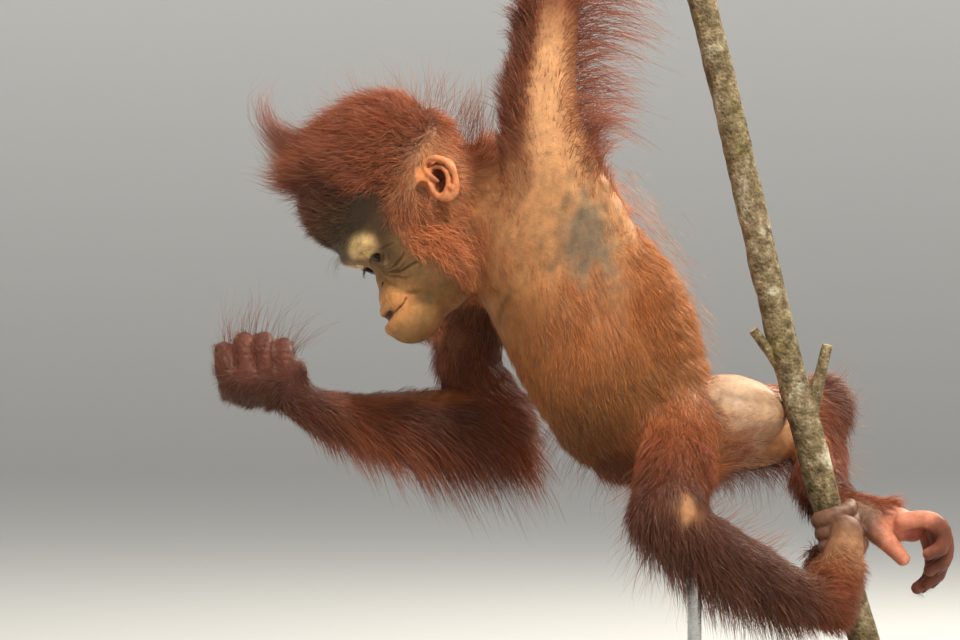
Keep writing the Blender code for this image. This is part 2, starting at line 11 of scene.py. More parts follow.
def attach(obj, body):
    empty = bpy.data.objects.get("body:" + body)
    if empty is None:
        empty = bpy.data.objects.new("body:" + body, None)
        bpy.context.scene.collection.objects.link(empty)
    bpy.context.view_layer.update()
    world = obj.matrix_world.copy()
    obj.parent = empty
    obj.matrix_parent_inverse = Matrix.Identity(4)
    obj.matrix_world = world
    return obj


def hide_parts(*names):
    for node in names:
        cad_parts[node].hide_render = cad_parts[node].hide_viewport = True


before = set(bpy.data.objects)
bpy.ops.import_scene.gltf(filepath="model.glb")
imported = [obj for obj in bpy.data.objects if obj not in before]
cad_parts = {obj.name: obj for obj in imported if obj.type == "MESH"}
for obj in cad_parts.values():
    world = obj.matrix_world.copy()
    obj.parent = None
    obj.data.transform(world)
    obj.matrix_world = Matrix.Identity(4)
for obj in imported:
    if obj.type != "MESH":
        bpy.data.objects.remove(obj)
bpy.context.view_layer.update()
rng = np.random.default_rng(4711)
F32 = np.float32

# ---- layout, as in the solids; every length here is in millimetres until a mesh is written ---------------------------
SHEET = 0.65
TRUNK_SIDE = -10.0
TRUNK = (
    (608, -378, 8.3), (640, -255, 8.6), (672, -128, 8.8), (701, 0, 9.1), (723, 88, 9.3), (754, 225, 9.6),
    (786, 360, 9.9), (806, 431, 10.3), (825, 503, 9.8), (855, 613, 10.1), (867, 655, 10.2),
)


def at(u, v, y=0.0):
    return np.array(((u - 650.0) * SHEET, y, 268.0 + (320.0 - v) * SHEET))


def unit(v):
    v = np.asarray(v, float)
    return v / np.maximum(np.linalg.norm(v, axis=-1, keepdims=True), 1e-9)


_p, _y = math.radians(56.0), math.radians(16.0)
_front, _near = np.array((-math.cos(_p), 0, -math.sin(_p))), np.array((0.0, -1.0, 0.0))
HU = np.array((-math.sin(_p), 0, math.cos(_p)))
HF = unit(_front * math.cos(_y) + _near * math.sin(_y))
HL = unit(_near * math.cos(_y) - _front * math.sin(_y))
HEAD = np.stack((HF, HL, HU), 1)        # columns: forward, left, up
HZ = at(425, 194, -3)


def head(a, c, b):
    return HZ + HEAD @ np.array((a, c, b), float)


def in_head(Q):
    return (Q - HZ) @ HEAD


def lerp(a, b, t):
    return a + (b - a) * t


def soft(x, lo, hi):
    """0 below lo, 1 above hi, smooth between."""
    t = np.clip((x - lo) / (hi - lo), 0, 1)
    return t * t * (3 - 2 * t)


def wobble(Q, size, seed, many=5):
    """A smooth random value, about -1 to 1, that changes over the given size in mm."""
    r = np.random.default_rng(seed)
    out = np.zeros(len(Q))
    for _ in range(many):
        k = r.normal(size=3)
        k *= 2 * math.pi / (size * np.linalg.norm(k)) * r.uniform(0.6, 1.4)
        out += np.sin(Q @ k + r.uniform(0, 6.28))
    return out / math.sqrt(many) * 0.9


# ---- shapes as distance fields -----------------------------------------------------------------------------------------
class Tube:
    """A bent tube with oval sections: rows are (place, half-width up the picture, half-width to the side, more...)."""

    def __init__(self, rows, side=(0, 1, 0), step=9.0):
        P = np.array([r[0] for r in rows], float)
        X = np.array([[float(x) for x in r[1:]] for r in rows])
        ends_p = np.vstack((2 * P[0] - P[1], P, 2 * P[-1] - P[-2]))
        pts, ex, row = [], [], []
        for i in range(len(P) - 1):
            p0, p1, p2, p3 = ends_p[i:i + 4]
            n = max(1, int(np.linalg.norm(p2 - p1) / step))
            for k in range(n):
                t = k / n
                pts.append(0.5 * (2 * p1 + (p2 - p0) * t + (2 * p0 - 5 * p1 + 4 * p2 - p3) * t * t
                                  + (3 * p1 - p0 - 3 * p2 + p3) * t ** 3))
                s = t * t * (3 - 2 * t)
                ex.append(lerp(X[i], X[i + 1], s))
                row.append(i + t)
        pts.append(P[-1]); ex.append(X[-1]); row.append(len(P) - 1)
        self.p, self.x, self.row = np.array(pts), np.array(ex), np.array(row)
        side = np.asarray(side, float)
        t = unit(np.gradient(self.p, axis=0))
        b = side - t * (t @ side)[:, None]
        thin = np.linalg.norm(b, axis=1) < 0.2
        b[thin] = np.cross((1.0, 0, 0), t[thin])
        self.t, self.b = t, unit(b)
        self.a = unit(np.cross(self.b, t))
        seg = np.diff(self.p, axis=0)
        self.length = np.concatenate(((0,), np.cumsum(np.linalg.norm(seg, axis=1))))
        r = self.x[:, :2].max(1)[:, None]
        self.box = ((self.p - r).min(0), (self.p + r).max(0))

    def dist(self, Q, where=False, reach=None):
        """Distance to the tube; with a reach, places farther than that from a piece of it may be given as far away."""
        if where is False and reach is not None:
            best = np.full(len(Q), 1e9)
            for i in range(len(self.p) - 1):
                r = max(self.x[i, 0], self.x[i, 1], self.x[i + 1, 0], self.x[i + 1, 1]) + reach
                lo, hi = np.minimum(self.p[i], self.p[i + 1]) - r, np.maximum(self.p[i], self.p[i + 1]) + r
                m = np.nonzero((Q[:, 0] > lo[0]) & (Q[:, 0] < hi[0]) & (Q[:, 1] > lo[1]) & (Q[:, 1] < hi[1]) & (Q[:, 2] > lo[2]) & (Q[:, 2] < hi[2]))[0]
                if len(m):
                    best[m] = np.minimum(best[m], self.part(i, Q[m])[0])
            return best
        best = np.full(len(Q), 1e9)
        s = np.zeros(len(Q))
        for i in range(len(self.p) - 1):
            e, w = self.part(i, Q)
            m = e < best
            best[m] = e[m]
            s[m] = (i + w)[m]
        return (best, s) if where else best

    def part(self, i, Q):
        o, d = self.p[i], self.p[i + 1] - self.p[i]
        w = np.clip(((Q - o) @ d) / (d @ d), 0, 1)
        q = Q - o - w[:, None] * d
        ra = lerp(self.x[i, 0], self.x[i + 1, 0], w)
        rb = lerp(self.x[i, 1], self.x[i + 1, 1], w)
        rc = np.minimum(ra, rb)
        x, y, z = q @ self.a[i], q @ self.b[i], q @ self.t[i]
        k0 = np.sqrt((x / ra) ** 2 + (y / rb) ** 2 + (z / rc) ** 2)
        k1 = np.sqrt((x / ra ** 2) ** 2 + (y / rb ** 2) ** 2 + (z / rc ** 2) ** 2) + 1e-9
        return np.where(k0 < 1e-4, -rc, k0 * (k0 - 1) / k1), w

    def at(self, s, what):
        i = np.clip(s.astype(int), 0, len(self.p) - 2)
        w = (s - i)[:, None]
        return what[i] * (1 - w) + what[i + 1] * w


class Ball:
    """An ellipsoid: middle, axes as columns, radii."""

    def __init__(self, middle, axes, radii):
        self.m, self.axes, self.r = np.asarray(middle, float), np.asarray(axes, float), np.asarray(radii, float)
        reach = np.sqrt(((self.axes * self.r) ** 2).sum(1))
        self.box = (self.m - reach, self.m + reach)

    def dist(self, Q, where=False, reach=None):
        q = (Q - self.m) @ self.axes
        k0 = np.sqrt(((q / self.r) ** 2).sum(1))
        k1 = np.sqrt(((q / self.r ** 2) ** 2).sum(1)) + 1e-9
        return np.where(k0 < 1e-4, -self.r.min(), k0 * (k0 - 1) / k1)


class Fold:
    """A line on the skin that is pressed in across its width, fading toward its ends."""

    def __init__(self, p, n, width, depth):
        self.p, self.width, self.depth = p, width, depth
        d = np.diff(p, axis=0)
        m = n[:-1] + n[1:]
        self.d, self.n = d, unit(m - d * ((m * d).sum(1) / np.maximum((d * d).sum(1), 1e-9))[:, None])
        s = np.concatenate(((0,), np.cumsum(np.linalg.norm(d, axis=1))))
        self.fade = np.clip(np.minimum(s, s[-1] - s) / (0.22 * s[-1]) + 0.25, 0, 1) ** 0.7
        self.box = (p.min(0), p.max(0))

    def press(self, Q, sharper=1.0):
        best = np.zeros(len(Q))
        k = self.width * sharper
        reach = 2.6 * k
        for i in range(len(self.d)):
            o, d = self.p[i], self.d[i]
            lo, hi = np.minimum(o, o + d) - reach, np.maximum(o, o + d) + reach
            m = np.nonzero((Q[:, 0] > lo[0]) & (Q[:, 0] < hi[0]) & (Q[:, 1] > lo[1]) & (Q[:, 1] < hi[1]) & (Q[:, 2] > lo[2]) & (Q[:, 2] < hi[2]))[0]
            if not len(m):
                continue
            q = Q[m] - o
            w = np.clip((q @ d) / (d @ d), 0, 1)
            q = q - w[:, None] * d
            up = q @ self.n[i]
            e = np.maximum((q * q).sum(1) - up * up, 0) + np.maximum(np.abs(up) - max(3.0, reach), 0) ** 2
            best[m] = np.maximum(best[m], lerp(self.fade[i], self.fade[i + 1], w) * np.exp(-e / k ** 2))
        return best * self.depth


def head_ball(a, c, b, ra, rc, rb, pitch=0.0):
    """In the head's axes; pitch in degrees turns the front down."""
    w = math.radians(pitch)
    fwd = HF * math.cos(w) - HU * math.sin(w)
    return Ball(head(a, c, b), np.stack((fwd, HL, np.cross(fwd, HL)), 1), (ra, rc, rb))


def limb(rows, **kw):
    return Tube([(at(*r[:3]), *r[3:]) for r in rows], **kw)


def rod(rows, **kw):
    """A round tapering tube through (place, radius) rows."""
    return Tube([(np.asarray(p, float), r, r) for p, r in rows], step=kw.pop("step", 5.0), **kw)


def smin(a, b, k):
    h = np.clip(0.5 + 0.5 * (a - b) / k, 0, 1)
    return lerp(a, b, h) - k * h * (1 - h)


def trunk_at(v):
    for a, b in zip(TRUNK, TRUNK[1:]):
        if v <= b[1] or b is TRUNK[-1]:
            t = (v - a[1]) / (b[1] - a[1])
            return at(lerp(a[0], b[0], t), v, TRUNK_SIDE), lerp(a[2], b[2], t)


def around_trunk(v, turn, out):
    c, r = trunk_at(v)
    w = math.radians(turn)
    return c + np.array((-math.cos(w), -math.sin(w), 0)) * (r + out)


def wrap(v0, v1, turn0, turn1, r0, r1, knuckles=(), steps=13):
    """A digit bent round the trunk; knuckles are places along it (0 to 1) where it is a little thicker."""
    rows = []
    for k in range(steps):
        t = k / (steps - 1)
        r = lerp(r0, r1, t)
        fat = sum(0.55 * math.exp(-((t - q) / 0.07) ** 2) for q in knuckles)
        rows.append((around_trunk(lerp(v0, v1, t), lerp(turn0, turn1, t), r + 0.35), r - 0.15 + fat))
    return rod(rows)


# body rows: across, down, side, half-width up the picture, half-width to the side -------------------------------------
TORSO = (
    (520, 222, 0, 42, 44), (548, 262, 0, 50.5, 50), (596, 330, 0, 58, 55), (624, 388, 0, 52, 54), (650, 418, 0, 42, 49),
    (690, 435, 0, 30, 44), (725, 415, 0, 24, 36),
)
NECK = ((446, 214, -2, 33, 33), (488, 210, 0, 37, 37), (530, 232, 0, 42, 43))
ARM_LEFT = (
    (556, 214, -36, 37, 27), (548, 165, -48, 30, 25), (541, 115, -56, 23, 21.5), (546, 55, -60, 18.5, 18.5),
    (553, 0, -63, 17, 17.5), (559, -30, -64.5, 16.5, 17.5), (562, -52, -64, 17.5, 18), (568, -90, -60, 17.5, 16.5),
    (580, -160, -49, 14, 13.2), (591, -232, -34, 10.6, 9.8), (599, -262, -24, 10.4, 9.4),
)
ARM_RIGHT = ((506, 242, 42, 31, 26), (478, 300, 60, 22.5, 21), (467, 357, 64, 20, 19.5), (490, 412, 60.5, 19.5, 18.5))
FOREARM_RIGHT = (
    (500, 420, 59, 20, 19), (455, 420, 48, 19.5, 18), (400, 419, 33, 17, 16), (350, 416, 19, 13.8, 13),
    (312, 406, 7, 11.2, 10.8), (292, 396, 2, 11.5, 11),
)
THIGH_LEFT = ((669, 426, -26, 26, 27), (671, 464, -66, 22, 24), (662, 505, -98, 20, 20))
SHANK_LEFT = (
    (662, 509, -98, 19.5, 19.5), (698, 538, -90, 17.5, 16.5), (745, 564, -76, 15, 14.5), (790, 588, -60, 12.2, 11.8),
    (812, 597, -48, 11.5, 11),
)
THIGH_RIGHT = ((705, 430, 26, 30, 28), (757, 428, 46, 28, 25), (800, 424, 68, 21, 20.5), (826, 412, 82, 18, 18))
SHANK_RIGHT = ((826, 413, 82, 17.5, 17), (822, 460, 55, 15.2, 14.5), (830, 500, 24, 12.8, 12), (858, 517, 6, 11.5, 10.5))

# ---- the flesh -----------------------------------------------------------------------------------------------------------
JOIN, CUT, DENT = "join", "cut", "dent"
shapes = []         # (kind, shape, softness, depth)


def add(shape, k=6.0):
    shapes.append((JOIN, shape, k, 0.0))
    return shape


def cut(shape, k=1.0):
    shapes.append((CUT, shape, k, 0.0))
    return shape


def dent(points, depth, width):
    """A fold: a groove of that depth and half-width along the points, or a ridge if the depth is negative."""
    folds.append((Tube([(np.asarray(p, float), 0.05, 0.05) for p in points], step=2.0).p, depth, width))


folds = []


def press_folds():
    """Lays every fold's line on the surface, then presses it in."""
    laid, out = settle(np.concatenate([f[0] for f in folds]), 7)
    i = 0
    for line, depth, width in folds:
        n = len(line)
        shapes.append((DENT, Fold(laid[i:i + n], out[i:i + n], width, depth), width, depth))
        i += n


tubes = {}
tubes["torso"] = add(limb(TORSO))
tubes["neck"] = add(limb(NECK), 18)
tubes["arm_left"] = add(limb(ARM_LEFT), 16)
tubes["arm_right"] = add(limb(ARM_RIGHT), 13)
tubes["forearm_right"] = add(limb(FOREARM_RIGHT), 7)
tubes["thigh_left"] = add(limb(THIGH_LEFT), 14)
tubes["shank_left"] = add(limb(SHANK_LEFT), 7)
tubes["thigh_right"] = add(limb(THIGH_RIGHT), 14)
tubes["shank_right"] = add(limb(SHANK_RIGHT), 7)
add(limb(((588, 372, -30, 30, 24), (612, 400, -30, 26, 22))), 24)          # the round belly
add(limb(((548, 200, -30, 24, 22), (590, 240, -30, 26, 22), (622, 285, -26, 22, 20))), 20)  # shoulder blade, near side
add(limb(((553, -14, -57, 9, 9), (560, -40, -57, 9, 9))), 8)
add(Ball(at(663, 505, -101), np.eye(3), (14.5, 12.5, 14)), 8)              # kneecaps
add(Ball(at(832, 407, 86), np.eye(3), (13.5, 11.5, 13)), 8)
add(Ball(at(500, 425, 62), np.eye(3), (14, 13, 12)), 8)                    # right elbow
add(Ball(at(742, 414, -4), np.eye(3), (27, 27, 14.0)), 22)                  # seat pads
add(Ball(at(740, 413, 16), np.eye(3), (24, 20, 13.5)), 22)

# head
HEAD_PARTS = [
    (head_ball(10, 0, 26, 54, 48.5, 46), 8), (head_ball(2, 0, 2, 34, 41.5, 32), 12), (head_ball(41, 0, 8, 20.5, 34, 21), 9),
    (head_ball(29, 0, -26, 37, 34, 31), 10), (head_ball(36, 0, -38, 35, 27.5, 23), 8),
]
for ball, k in HEAD_PARTS:
    add(ball, k)
add(Tube([(head(a, 0, b), h, w) for a, b, h, w in ((46, -8, 11, 23), (60, -19.5, 11.6, 21.5), (72.5, -28.5, 10.8, 17.5))],
         side=HL, step=4), 8)
add(head_ball(69.0, 0, -37.3, 22.6, 18.7, 19.3), 3.5)
add(Tube([(head(a, c, b), 4.2, 4.2) for a, c, b in ((57, -25, 12.5), (61.5, -14, 17), (62, 0, 16.5), (61.5, 14, 17), (57, 25, 12.5))], step=4), 7)
for s in (1, -1):
    add(head_ball(45, 26 * s, -6, 10, 9, 8), 10)                                           # cheekbone
    add(head_ball(45, 24 * s, -27, 15, 12, 17), 12)                                        # cheek
    cut(head_ball(66.0, 17.4 * s, 3.0, 7.5, 11.5, 7.5), 6)                                 # eye hollow
    add(head_ball(50.6, 17.2 * s, 4.2, 11.0, 11.0, 11.0), 2.5)                             # lids over the eyeball
# nose: short bridge, tip and wings
add(rod([(head(56.0, 0, 3), 3.0), (head(58.2, 0, -3.5), 3.3), (head(63.4, 0, -8.4), 3.8)]), 4)
add(head_ball(64.9, 0, -10.2, 3.9, 4.2, 3.2, 30), 3)
add(head_ball(70.2, 0, -19.2, 9.0, 15.0, 7.0, 38), 5)
for s in (1, -1):
    add(head_ball(63.6, 5.2 * s, -10.6, 3.8, 3.0, 2.9, 30), 2)
# lips: a soft roll along each edge of the mouth
LIP_UP = [(65, 19.5, -26.6), (72, 17.0, -26.2), (78, 12.0, -24.2), (80.6, 6.5, -22.0), (81.2, 0, -20.8)]
LIP_LOW = [(66, 19.3, -31.2), (75, 16.8, -31.6), (82.5, 12, -31.6), (87.0, 6, -31.2), (88.4, 0, -31.0)]
for row, r in ((LIP_UP, 2.1), (LIP_LOW, 3.2)):
    pts = row + [(a, -c, b) for a, c, b in row[-2::-1]]
    add(rod([(head(a, c, b), r * (0.55 + 0.45 * (1 - (abs(c) / 20) ** 2))) for a, c, b in pts], step=4), 3.5)

for s in (1, -1):
    # the space between the lids: almond, upper lid lowered
    cut(head_ball(60.5, 17.6 * s, 2.4, 7.0, 7.8, 2.9), 0.5)
    cut(head_ball(60.5, 16.4 * s, 2.0, 7.0, 5.4, 3.4), 0.5)
    # nostrils: slits that open forward and a little out
    cut(Ball(head(66.0, 6.3 * s, -12.3), HEAD, (3.6, 1.6, 2.4)), 0.5)
    # lid folds, folds from the inner corner over the cheek, crease beside the nose and mouth
    dent([head(57.5, 26 * s, 7), head(61.6, 21 * s, 10.6), head(62.6, 16 * s, 10.8), head(61.0, 10.5 * s, 7.8)], 0.75, 0.9)
    dent([head(58, 26.5 * s, -1), head(61, 22 * s, -3.2), head(61.8, 17 * s, -4.0), head(61.4, 11.5 * s, -2.6)], 0.7, 0.9)
    dent([head(61.5, 8.2 * s, -1.8), head(60.8, 13 * s, -4.6), head(59.4, 18 * s, -6.6), head(57.0, 23 * s, -6.2), head(53.5, 27.5 * s, -4.0)], 1.1, 0.75)
    dent([head(61.2, 8.4 * s, -3.4), head(59.8, 13.5 * s, -7.6), head(57.5, 20 * s, -10.4), head(53.5, 27 * s, -11.5), head(49.5, 31.5 * s, -11.5)], 1.25, 0.8)
    dent([head(61.4, 8.6 * s, -5.4), head(59.8, 13.5 * s, -11.0), head(56.5, 20.5 * s, -16.0), head(51.5, 28 * s, -20.5), head(46.5, 33 * s, -23.5)], 1.35, 0.85)
    dent([head(61.8, 9.0 * s, -7.6), head(60.6, 14 * s, -14.2), head(57.5, 20 * s, -20.0), head(53.5, 26 * s, -24.5)], 0.9, 0.8)
    dent([head(57.0, 27.5 * s, 2.5), head(53.5, 31 * s, 1.0), head(49.0, 34 * s, -2.5)], 0.7, 0.9)
    dent([head(60.0, 16 * s, -6.6), head(58.2, 21 * s, -8.4), head(55.0, 26 * s, -8.2)], 0.7, 0.6)
    dent([head(59.0, 17 * s, -12.2), head(56.0, 23 * s, -15.2), head(52.0, 28.5 * s, -16.6)], 0.9, 0.6)
    dent([head(58.2, 23.5 * s, 9.8), head(60.6, 19.5 * s, 13.4), head(61.2, 15 * s, 14.0)], 0.4, 0.8)
    dent([head(64.0, 9.0 * s, -10), head(66.5, 13.5 * s, -15), head(67.5, 18.5 * s, -20.5)], 0.8, 1.8)
    dent([head(69.0, 20.5 * s, -25.5), head(66.0, 21.8 * s, -29), head(63.0, 22 * s, -33.5)], 0.9, 1.5)
    for i, c in enumerate((2.2, 5.6, 8.8, 12.0)):       # fine upright folds of the upper lip
        dent([head(73 - c * 0.15, c * s, -13.6 - c * 0.12), head(79.5 - c * 0.32, c * 1.05 * s, -18.6 - c * 0.25)], 0.22, 0.8)
    for i in range(4):                                   # faint folds of the near brow
        dent([head(62 - i * 0.4, 7 * s, 15 + i * 5.0), head(60.5 - i * 0.5, 18 * s, 19 + i * 5.2)], 0.16, 1.1)
# the mouth: a crease from each corner, and lips a little parted in front
MOUTH_LINE = [(71.0, 19.4, -28.4), (74.5, 17.8, -28.8), (78.0, 15.9, -28.3), (81.4, 13.4, -27.3), (84.6, 8.0, -26.6), (86.0, 0, -26.3)]
MOUTH_LINE += [(a, -c, b) for a, c, b in MOUTH_LINE[-2::-1]]
dent([head(*p) for p in MOUTH_LINE[:4]], 1.3, 0.55)
dent([head(*p) for p in MOUTH_LINE[7:]], 1.3, 0.55)
MOUTH = Tube([(head(*p), 0.3, 0.3) for p in MOUTH_LINE], step=3)
cut(head_ball(88.0, 0, -23.6, 9.2, 20.0, 3.5, -18), 1.0)

# ears: shell, folded rim, inner ridge, crus, tragus, antitragus and lobe; (across, up, out) mm in the picture's plane
EAR = at(440.0, 181.5, -48.5)


def ear_at(x, z, out, s):
    p = EAR + np.array((x, -(out + 0.36 * x), z))
    if s > 0:
        return p
    q = in_head(p[None])[0]
    return head(q[0], -q[1], q[2])


def ear_axes(s):
    X, Z = unit(np.array((1, -0.36, 0))), np.array((0.0, 0, 1.0))
    M = np.stack((X, np.cross(Z, X), Z), 1)
    if s < 0:
        mir = HEAD @ np.diag((1, -1, 1)) @ HEAD.T
        M = mir @ M
    return M


EAR_TILT = math.radians(20)
for s in (1, -1):
    M = ear_axes(s)
    R = np.array(((math.cos(EAR_TILT), 0, math.sin(EAR_TILT)), (0, 1, 0), (-math.sin(EAR_TILT), 0, math.cos(EAR_TILT))))
    shell = M @ R
    add(Ball(ear_at(1.4, 0.6, -1.2, s), shell, (9.9, 3.2, 13.6)), 2.2)
    add(Ball(ear_at(-1.4, 0.4, -6.0, s), shell, (7.0, 8.0, 8.8)), 3.4)
    cut(Ball(ear_at(0.9, 1.6, 3.0, s), shell, (8.3, 4.6, 11.0)), 1.0)
    cut(Ball(ear_at(-1.6, 7.4, 0.8, s), shell, (4.4, 3.4, 3.2)), 1.2)
    cut(Ball(ear_at(-0.4, 2.4, -0.4, s), shell, (4.6, 6.0, 4.2)), 1.2)
    cut(Ball(ear_at(0.6, -4.6, -0.4, s), shell, (3.2, 6.0, 4.8)), 1.0)
    cut(Ball(ear_at(-11.5, -9.5, 2.5, s), M, (6.3, 4.6, 8.5)), 1.0)
    rim = [(-1.0, -1.2, -0.6, 1.3), (-4.2, 1.2, 0.8, 1.5), (-7.6, 3.6, 1.6, 1.7), (-10.0, 7.4, 1.6, 1.85), (-9.4, 11.0, 1.6, 1.95),
           (-6.0, 13.2, 1.8, 2.0), (-2.0, 13.6, 1.8, 2.0), (2.2, 12.4, 1.7, 1.95), (6.0, 9.6, 1.4, 1.9), (8.8, 5.4, 1.0, 1.85),
           (10.4, 0.4, 0.8, 1.9), (11.0, -4.4, 0.6, 2.1), (10.0, -8.8, 0.4, 2.6)]
    add(rod([(ear_at(x, z, o, s), r) for x, z, o, r in rim], step=2.5), 0.9)
    ridge = [(-5.6, 6.6, -0.2, 1.1), (-2.0, 8.0, 0.4, 1.35), (1.8, 7.4, 0.8, 1.5), (4.6, 4.6, 1.0, 1.6), (5.8, 0.4, 1.0, 1.7),
             (5.6, -3.8, 0.9, 1.7), (4.2, -7.2, 0.6, 1.5)]
    add(rod([(ear_at(x, z, o, s), r) for x, z, o, r in ridge], step=2.5), 1.0)
    add(rod([(ear_at(x, z, o, s), r) for x, z, o, r in ((-5.6, -3.6, 0.4, 1.5), (-4.4, -7.0, 0.8, 1.7), (-1.6, -10.4, 0.7, 1.9),
                                                        (2.2, -12.2, 0.4, 2.2))], step=2.5), 1.2)
    add(Ball(ear_at(6.0, -11.0, 0.4, s), M, (5.2, 2.5, 3.4)), 1.6)
    add(Ball(ear_at(8.6, -5.8, 1.0, s), M, (2.5, 2.3, 2.4)), 1.0)

# right hand: a loosely closed fist seen from the back, knuckles up
add(Ball(at(260, 374, 0), np.eye(3), (25.0, 13.2, 15.5)), 6)
add(Ball(at(290, 388, -2), np.eye(3), (12, 10.5, 11.5)), 6)
DIGITS = []
FIST = []
for i in range(4):
    u = 224 + 20.0 * i
    lift = (8, -1, -1, 4)[i]
    r = (6.1, 6.7, 6.8, 6.2)[i]
    f = rod([(at(u + (19, 12, 9, 8)[i], (385, 393, 397, 397)[i], -6), r * 1.0), (at(u + 3, 370 + lift * 0.6, -10.5), r * 1.04), (at(u + 1, 350 + lift, -7), r * 1.02),
             (at(u, 343 + lift, 0), r), (at(u + 2, 352 + lift, 9), r * 0.86), (at(u + 4, 368 + lift, 12), r * 0.8),
             (at(u + 6, 382 + lift, 8), r * 0.66)], step=4)
    add(f, 4.2)
    FIST.append(f)
    dent([at(u + 1 - 7, 349 + lift, -14), at(u + 1, 346 + lift, -15.5), at(u + 1 + 7, 349 + lift, -14)], 0.35, 0.9)
    dent([at(u + 1 - 7, 356 + lift, -15), at(u + 1, 355 + lift, -17), at(u + 1 + 7, 356 + lift, -15)], 0.3, 0.9)
add(rod([(at(302, 392, 8), 7.4), (at(290, 374, 14), 6.6), (at(270, 360, 18), 5.6), (at(250, 355, 17), 4.6)]), 2.5)
add(Ball(at(296, 372, -6), np.eye(3), (7.5, 7, 9)), 4)
add(Ball(at(257, 381, -5.5), np.eye(3), (23.5, 13.2, 13.0)), 5)
dent([at(234, 340, -8), at(235, 352, -16), at(239, 372, -16)], 0.5, 1.3)
dent([at(254, 340, -8), at(255, 352, -16), at(258, 374, -16)], 0.8, 1.3)
dent([at(273, 341, -8), at(275, 352, -16), at(276, 366, -16)], 1.0, 1.3)
for i in range(7):
    x = 222 + 11 * i
    dent([at(x, 352 + (i % 3), -17), at(x + 4, 349 + (i % 2) * 2, -17.5), at(x + 8, 352, -17)], 0.35, 0.6)

# left hand: hooked round the trunk
add(Ball(around_trunk(-286, 12, 7.4), np.eye(3), (7.4, 14.5, 21.5)), 6)
add(Ball(around_trunk(-276, 55, 5.8), np.eye(3), (6, 7, 15)), 4)
for i in range(4):
    v = -322 + 17.5 * i
    DIGITS.append(add(wrap(v + 8, v - 4, -10, (-205, -215, -210, -190)[i], 5.0, 4.0, (0.3, 0.66)), 1.2))
DIGITS.append(add(wrap(-268, -318, 40, 132, 6.0, 4.4, (0.45,)), 2))

# left foot: sole on the trunk, toes over it, great toe behind
add(rod([(at(829, 606, -41), 11.2), (at(823, 590, -44), 12.6)]), 6)
add(rod([(at(818, 594, -44), 13.2), (at(832, 570, -37), 13.0), (at(841, 546, -33), 12.0), (at(842, 529, -31), 10.2)]), 5)
for i in range(4):
    v = 505 + 12.5 * i
    DIGITS.append(add(wrap(v + 14, v, 62, 176, 6.2, 4.9, (0.35, 0.68)), 1.2))
add(wrap(572, 552, 40, -30, 6.7, 5.1, (0.5,)), 2)

# right foot: held out past the trunk, toes curling down
add(rod([(at(856, 518, 5), 12.4), (at(880, 520, 3), 12.0), (at(900, 525, 2), 11.0), (at(912, 529, 1), 8.6)]), 5)
TOES_R = []
for i, row in enumerate((
    ((902, 521), (924, 518), (937, 524), (943, 536), (939, 547), (927, 553)),
    ((903, 523), (927, 520), (941, 531), (946, 547), (942, 562), (929, 570)),
    ((903, 526), (926, 523), (938, 538), (942, 559), (938, 575), (927, 584)),
    ((902, 529), (922, 528), (932, 545), (934, 566), (930, 581), (919, 589)),
)):
    y = -13.5 + 8.6 * i
    f = rod([(at(u, v, y * (0.72, .95, 1, 1, .97, .93)[j]), (6.0, 5.5, 5.3, 4.9, 4.7, 4.1)[j] + (0.35 if j in (2, 4) else 0))
             for j, (u, v) in enumerate(row)], step=4)
    DIGITS.append(add(f, 0.9))
    TOES_R.append(f)
dent([at(905, 535, -12), at(915, 533, -13), at(924, 532, -14)], 0.5, 1.0)
dent([at(900, 541, -8), at(908, 543, -9), at(914, 541, -10)], 0.5, 1.0)
add(rod([(at(872, 528, -6), 8.0), (at(886, 541, -10), 6.6), (at(895, 551, -11.5), 5.4), (at(901, 558, -12), 4.6)]), 2.5)

# folds of the body
dent([at(470, 292, -30), at(480, 300, -38), at(492, 300, -42)], 1.4, 2.6)
dent([at(486, 330, -20), at(492, 312, -34), at(506, 296, -44)], 1.2, 3.0)
dent([at(700, 384, -34), at(710, 404, -38), at(712, 430, -34)], 2.2, 4.0)
dent([at(716, 392, -30), at(742, 404, -28), at(776, 416, -8)], 0.8, 4.0)
dent([at(560, 190, -72), at(580, 210, -62), at(604, 226, -50)], -1.6, 5.0)

TRUNK_TUBE = rod([(at(u, v, TRUNK_SIDE), r + 0.25) for u, v, r in TRUNK], step=40)
cut(TRUNK_TUBE, 0.6)


def field(Q):
    d = np.full(len(Q), 40.0)
    for kind, shape, k, depth in shapes:
        far = 20.0 if kind == JOIN else 5.0 if kind == CUT else max(3.0, 2.6 * k)
        lo, hi = shape.box[0] - far, shape.box[1] + far
        m = np.nonzero((Q[:, 0] > lo[0]) & (Q[:, 0] < hi[0]) & (Q[:, 1] > lo[1]) & (Q[:, 1] < hi[1]) & (Q[:, 2] > lo[2]) & (Q[:, 2] < hi[2]))[0]
        if not len(m):
            continue
        if kind == DENT:
            d[m] = d[m] + shape.press(Q[m])
            continue
        e = shape.dist(Q[m], reach=far)
        if kind == JOIN:
            d[m] = smin(d[m], e, k)
        else:
            d[m] = -smin(-d[m], e, k)
    return d


def settle(V, turns=3):
    """Moves points onto the surface of the flesh and returns them with its outward normals."""
    h = 0.18
    T = np.array(((1, 1, 1), (1, -1, -1), (-1, 1, -1), (-1, -1, 1)), float)
    for _ in range(turns):
        g = np.zeros_like(V)
        d = np.zeros(len(V))
        for t in T:
            e = field(V + t * h)
            g += e[:, None] * t
            d += e / 4
        n = unit(g)
        slope = np.linalg.norm(g, axis=1) / (4 * h)
        V = V - n * np.clip(d / np.maximum(slope, 0.4), -1.2, 1.2)[:, None]
    return V, n


